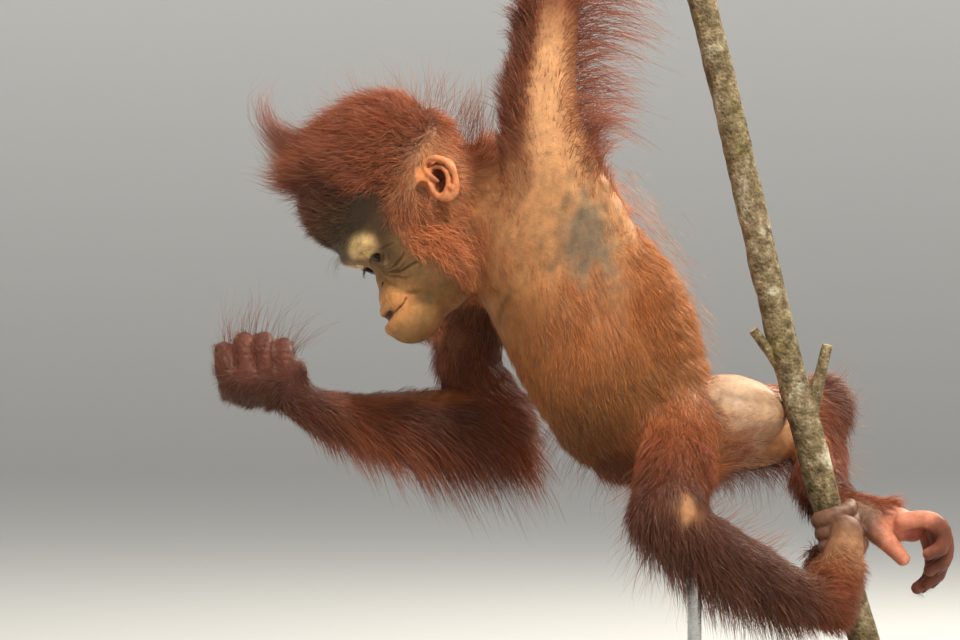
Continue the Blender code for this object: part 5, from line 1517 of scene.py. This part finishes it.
def eye_material():
    mat, nt, sh = new_material("eye")
    geo = node(nt, "ShaderNodeAttribute", attribute_name="gaze").outputs["Fac"]
    n = node(nt, "ShaderNodeTexNoise", Scale=900.0, Detail=3.0)
    nt.links.new(node(nt, "ShaderNodeTexCoord").outputs["Object"], n.inputs["Vector"])
    base = ramp(nt, geo, ((0.0, (0.002, 0.002, 0.002)), (0.20, (0.002, 0.002, 0.002)), (0.24, (0.035, 0.013, 0.005)),
                          (0.52, (0.022, 0.008, 0.004)), (0.60, (0.006, 0.003, 0.002)), (0.72, (0.016, 0.009, 0.006)),
                          (1.0, (0.030, 0.018, 0.012))))
    var = ramp(nt, n.outputs["Fac"], ((0.3, (0.75,) * 3), (0.7, (1.25,) * 3)))
    nt.links.new(mix_colour(nt, base, var, 1.0, "MULTIPLY"), sh.inputs["Base Color"])
    sh.inputs["Roughness"].default_value = 0.2
    sh.inputs["IOR"].default_value = 1.2
    sh.inputs["Specular IOR Level"].default_value = 0.30
    return mat


EYE_MAT = eye_material()
for s, word in ((1, "left"), (-1, "right")):
    mid_ = head(50.6, 17.2 * s, 4.2)
    gaze = unit(HEAD @ np.array((1.0, 0.10 * s, -0.22)))
    bm = bmesh.new()
    bmesh.ops.create_uvsphere(bm, u_segments=48, v_segments=32, radius=1.0)
    pts = np.array([v.co[:] for v in bm.verts])
    ang = np.arccos(np.clip(pts[:, 2], -1, 1))
    bulge = 9.15 + 0.75 * np.exp(-(ang / 0.48) ** 4)
    X = unit(np.cross(gaze, HU)); Y = np.cross(X, gaze)
    world = mid_ + (pts[:, :1] * X + pts[:, 1:2] * Y + pts[:, 2:] * gaze) * bulge[:, None]
    for v, p in zip(bm.verts, world):
        v.co = p * 0.001
    mesh = bpy.data.meshes.new(f"eyeball_{word}")
    bm.to_mesh(mesh)
    bm.free()
    g = mesh.attributes.new("gaze", "FLOAT", "POINT")
    g.data.foreach_set("value", np.clip(ang / 1.0, 0, 1).astype(F32))
    mesh.polygons.foreach_set("use_smooth", np.ones(len(mesh.polygons), bool))
    mesh.materials.append(EYE_MAT)
    ob = bpy.data.objects.new(f"eyeball_{word}", mesh)
    bpy.context.scene.collection.objects.link(ob)
    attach(ob, "root")
    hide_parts(f"eye_{word}")

# ---- trunk ----------------------------------------------------------------------------------------------------------------------


def bark_material():
    mat, nt, sh = new_material("bark")
    co = node(nt, "ShaderNodeTexCoord").outputs["Object"]
    cut_ = node(nt, "ShaderNodeAttribute", attribute_name="cut").outputs["Fac"]
    big = node(nt, "ShaderNodeTexNoise", Scale=26.0, Detail=5.0, Roughness=0.62, Distortion=0.6)
    mid_n = node(nt, "ShaderNodeTexNoise", Scale=150.0, Detail=6.0, Roughness=0.68)
    spot = node(nt, "ShaderNodeTexVoronoi", Scale=430.0, Randomness=1.0)
    for n in (big, mid_n, spot):
        nt.links.new(co, n.inputs["Vector"])
    base = ramp(nt, mid_n.outputs["Fac"], ((0.28, rgb(62, 50, 34)), (0.44, rgb(104, 88, 62)), (0.58, rgb(142, 124, 94)), (0.76, rgb(190, 176, 146))))
    green = ramp(nt, big.outputs["Fac"], ((0.46, rgb(255, 255, 255)), (0.66, rgb(206, 214, 160))))
    c = mix_colour(nt, base, green, 0.7, "MULTIPLY")
    pale = ramp(nt, big.outputs["Fac"], ((0.30, (1.0,) * 3), (0.40, (0.0,) * 3)))
    c = mix_colour(nt, c, rgb(196, 188, 160), pale)
    c2 = mix_colour(nt, c, rgb(60, 48, 30), ramp(nt, spot.outputs["Distance"], ((0.10, (0.75,) * 3), (0.26, (0.0,) * 3))))
    wood = node(nt, "ShaderNodeTexNoise", Scale=700.0, Detail=2.0)
    nt.links.new(co, wood.inputs["Vector"])
    fresh = ramp(nt, wood.outputs["Fac"], ((0.3, rgb(176, 138, 92)), (0.7, rgb(214, 182, 134))))
    nt.links.new(mix_colour(nt, c2, fresh, cut_), sh.inputs["Base Color"])
    hgt = nt.nodes.new("ShaderNodeMath")
    hgt.operation = "ADD"
    nt.links.new(mid_n.outputs["Fac"], hgt.inputs[0])
    nt.links.new(spot.outputs["Distance"], hgt.inputs[1])
    bump = node(nt, "ShaderNodeBump", Strength=0.75, Distance=0.0011)
    nt.links.new(hgt.outputs[0], bump.inputs["Height"])
    nt.links.new(bump.outputs["Normal"], sh.inputs["Normal"])
    sh.inputs["Roughness"].default_value = 0.82
    sh.inputs["Specular IOR Level"].default_value = 0.3
    return mat


def tube_mesh(rows, around, step, rough=0.0, seed=1, closed_cap=True):
    """Rings along a smooth path with a knobbly surface and slightly domed cut ends; returns verts, faces, cut flags."""
    T = Tube([(np.asarray(p, float), r, r) for p, r in rows], step=step)
    verts, faces, cutf = [], [], []
    ends = ((0, (0.0, 0.55, 0.9, 1.0)), )
    M = len(T.p)
    ang = np.arange(around) / around * 2 * math.pi

    def ring(i, f, push=0.0):
        r = T.x[i, 0] * f
        q = T.p[i] + T.t[i] * push + (np.cos(ang)[:, None] * T.a[i] + np.sin(ang)[:, None] * T.b[i]) * r
        return q
    rings = [(ring(0, f, -0.5 + 0.5 * f * f), 1.0) for f in (0.35, 0.7, 0.93)]
    for i in range(M):
        rings.append((ring(i, 1.0), 0.0))
    rings += [(ring(M - 1, f, 0.5 - 0.5 * f * f), 1.0) for f in (0.93, 0.7, 0.35)]
    P = np.concatenate([r for r, _ in rings])
    flag = np.repeat([c for _, c in rings], around)
    if rough:
        out = P - np.repeat(np.concatenate((T.p[:1].repeat(3, 0), T.p, T.p[-1:].repeat(3, 0))), around, 0)
        k = rough * (0.55 * wobble(P, 34, seed) + 0.35 * wobble(P, 12, seed + 1) + 0.22 * wobble(P, 5, seed + 2)) * (1 - flag)
        P = P + unit(out) * k[:, None]
    for i in range(len(rings) - 1):
        a = i * around
        for k in range(around):
            j = (k + 1) % around
            faces.append((a + k, a + j, a + around + j, a + around + k))
    faces.append(tuple(range(around))[::-1])
    faces.append(tuple(range(len(P) - around, len(P))))
    return P, faces, flag


parts = [tube_mesh([(at(u, v, TRUNK_SIDE), r) for u, v, r in TRUNK], 40, 3.0, 0.55, 50)]
STUBS = (((790, 380, -10), (752, 330, -14), 4.2, 2.9), ((806, 430, -10), (826, 345, -12), 4.6, 3.5), ((697, -12, -10), (674, -48, -13), 3.8, 2.6))
for a, b, r0, r1 in STUBS:
    pa, pb = at(*a), at(*b)
    parts.append(tube_mesh([(pa, r0 * 1.25), (lerp(pa, pb, 0.28), r0 * 1.05), (lerp(pa, pb, 0.6), lerp(r0, r1, .6)), (pb, r1)], 20, 2.5, 0.22, 60))
verts, faces, flags, base_i = [], [], [], 0
for P_, f_, c_ in parts:
    verts.append(P_)
    faces += [tuple(i + base_i for i in f) for f in f_]
    flags.append(c_)
    base_i += len(P_)
mesh = bpy.data.meshes.new("trunk")
mesh.from_pydata((np.concatenate(verts) * 0.001).tolist(), [], faces)
mesh.attributes.new("cut", "FLOAT", "POINT").data.foreach_set("value", np.concatenate(flags).astype(F32))
mesh.polygons.foreach_set("use_smooth", np.ones(len(mesh.polygons), bool))
mesh.materials.append(bark_material())
trunk = bpy.data.objects.new("trunk", mesh)
bpy.context.scene.collection.objects.link(trunk)
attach(trunk, "root")
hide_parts("perch")

# ---- stand ----------------------------------------------------------------------------------------------------------------------


def wood_material():
    mat, nt, sh = new_material("stand_wood")
    co = node(nt, "ShaderNodeTexCoord").outputs["Object"]
    mp = node(nt, "ShaderNodeMapping")
    mp.inputs["Scale"].default_value = (3.0, 26.0, 26.0)
    nt.links.new(co, mp.inputs["Vector"])
    n = node(nt, "ShaderNodeTexNoise", Scale=6.0, Detail=8.0, Roughness=0.66, Distortion=0.7)
    nt.links.new(mp.outputs["Vector"], n.inputs["Vector"])
    nt.links.new(ramp(nt, n.outputs["Fac"], ((0.3, rgb(52, 32, 22)), (0.5, rgb(82, 52, 34)), (0.72, rgb(118, 78, 50)))), sh.inputs["Base Color"])
    bump = node(nt, "ShaderNodeBump", Strength=0.25, Distance=0.0004)
    nt.links.new(n.outputs["Fac"], bump.inputs["Height"])
    nt.links.new(bump.outputs["Normal"], sh.inputs["Normal"])
    sh.inputs["Roughness"].default_value = 0.38
    sh.inputs["Coat Weight"].default_value = 0.25
    return mat


def steel_material():
    mat, nt, sh = new_material("rod_steel")
    co = node(nt, "ShaderNodeTexCoord").outputs["Object"]
    n = node(nt, "ShaderNodeTexNoise", Scale=300.0, Detail=4.0)
    nt.links.new(co, n.inputs["Vector"])
    nt.links.new(ramp(nt, n.outputs["Fac"], ((0.3, (0.52, 0.52, 0.51)), (0.7, (0.66, 0.66, 0.65)))), sh.inputs["Base Color"])
    nt.links.new(ramp(nt, n.outputs["Fac"], ((0.3, (0.22,) * 3), (0.7, (0.34,) * 3))), sh.inputs["Roughness"])
    sh.inputs["Metallic"].default_value = 1.0
    return mat


WOOD, STEEL = wood_material(), steel_material()
for name in ("stand_base", "stand_rod_perch", "stand_rod_body"):
    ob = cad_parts[name]
    mat = WOOD if name == "stand_base" else STEEL
    if not ob.material_slots:
        ob.data.materials.append(mat)
    for slot in ob.material_slots:
        slot.material = mat

# ---- floor, backdrop, light, camera ------------------------------------------------------------------------------------------------
bm = bmesh.new()
prof = [(1.0, 0.0), (2.5, 0.0), (4.0, 0.0), (5.0, 0.0)] + [(5.0 + 3.2 * math.sin(t), 3.2 - 3.2 * math.cos(t)) for t in np.linspace(0.08, math.pi / 2, 14)] + [(8.2, 4.6)]
many = 64
middle = bm.verts.new((0, 0, 0))
rings = [[bm.verts.new((r * math.cos(6.2831853 * k / many), r * math.sin(6.2831853 * k / many), z)) for k in range(many)] for r, z in prof]
for k in range(many):
    j = (k + 1) % many
    bm.faces.new((middle, rings[0][k], rings[0][j]))
    for a_, b_ in zip(rings, rings[1:]):
        bm.faces.new((a_[k], b_[k], b_[j], a_[j]))
mesh = bpy.data.meshes.new("studio_floor")
bm.to_mesh(mesh)
bm.free()
mesh.polygons.foreach_set("use_smooth", np.ones(len(mesh.polygons), bool))
mat, nt, sh = new_material("studio_floor")
n = node(nt, "ShaderNodeTexNoise", Scale=2.0, Detail=2.0)
height = node(nt, "ShaderNodeSeparateXYZ")
nt.links.new(node(nt, "ShaderNodeTexCoord").outputs["Object"], height.inputs["Vector"])
nt.links.new(mix_colour(nt, ramp(nt, height.outputs["Z"], ((0.0, (0.50, 0.50, 0.49)), (1.0, (0.88, 0.88, 0.87)))),
                        ramp(nt, n.outputs["Fac"], ((0.0, (0.97,) * 3), (1.0, (1.0,) * 3))), 1.0, "MULTIPLY"), sh.inputs["Base Color"])
sh.inputs["Roughness"].default_value = 0.9
mesh.materials.append(mat)
floor = bpy.data.objects.new("studio_floor", mesh)
bpy.context.scene.collection.objects.link(floor)


def lamp(name, place, target, size, power, colour=(1, 1, 1)):
    data = bpy.data.lights.new(name, "AREA")
    data.shape, data.size, data.energy, data.color = "DISK", size, power, colour
    ob = bpy.data.objects.new(name, data)
    ob.location = place
    ob.rotation_euler = (Vector(target) - Vector(place)).to_track_quat("-Z", "Y").to_euler()
    bpy.context.scene.collection.objects.link(ob)


MIDDLE = (-0.05, 0, 0.32)
lamp("key", (0.45, -1.05, 1.80), MIDDLE, 0.36, 42, (1.0, 0.95, 0.85))
lamp("fill", (-1.7, -1.5, 0.7), MIDDLE, 1.5, 5, (1.0, 0.98, 0.94))
lamp("rim", (0.95, 0.95, 1.35), MIDDLE, 0.5, 36, (1.0, 0.93, 0.80))
lamp("top", (0.0, 0.0, 5.2), (0, 0, 0), 5.0, 68, (1.0, 0.99, 0.97))
world = bpy.data.worlds.new("studio")
bpy.context.scene.world = world
world.use_nodes = True
world.node_tree.nodes["Background"].inputs["Color"].default_value = (1.0, 0.985, 0.95, 1.0)
world.node_tree.nodes["Background"].inputs["Strength"].default_value = 0.52

cam = bpy.data.cameras.new("camera")
cam.sensor_width = 36.0
DISTANCE = 3.0
cam.lens = 36.0 * DISTANCE / 0.624
cam_ob = bpy.data.objects.new("camera", cam)
cam_ob.location = ((480 - 650) * 0.00065, -DISTANCE, 0.268)
cam_ob.rotation_euler = (math.pi / 2, 0, 0)
cam.clip_end = 50
bpy.context.scene.collection.objects.link(cam_ob)
bpy.context.scene.camera = cam_ob
bpy.context.scene.view_settings.view_transform = "Standard"
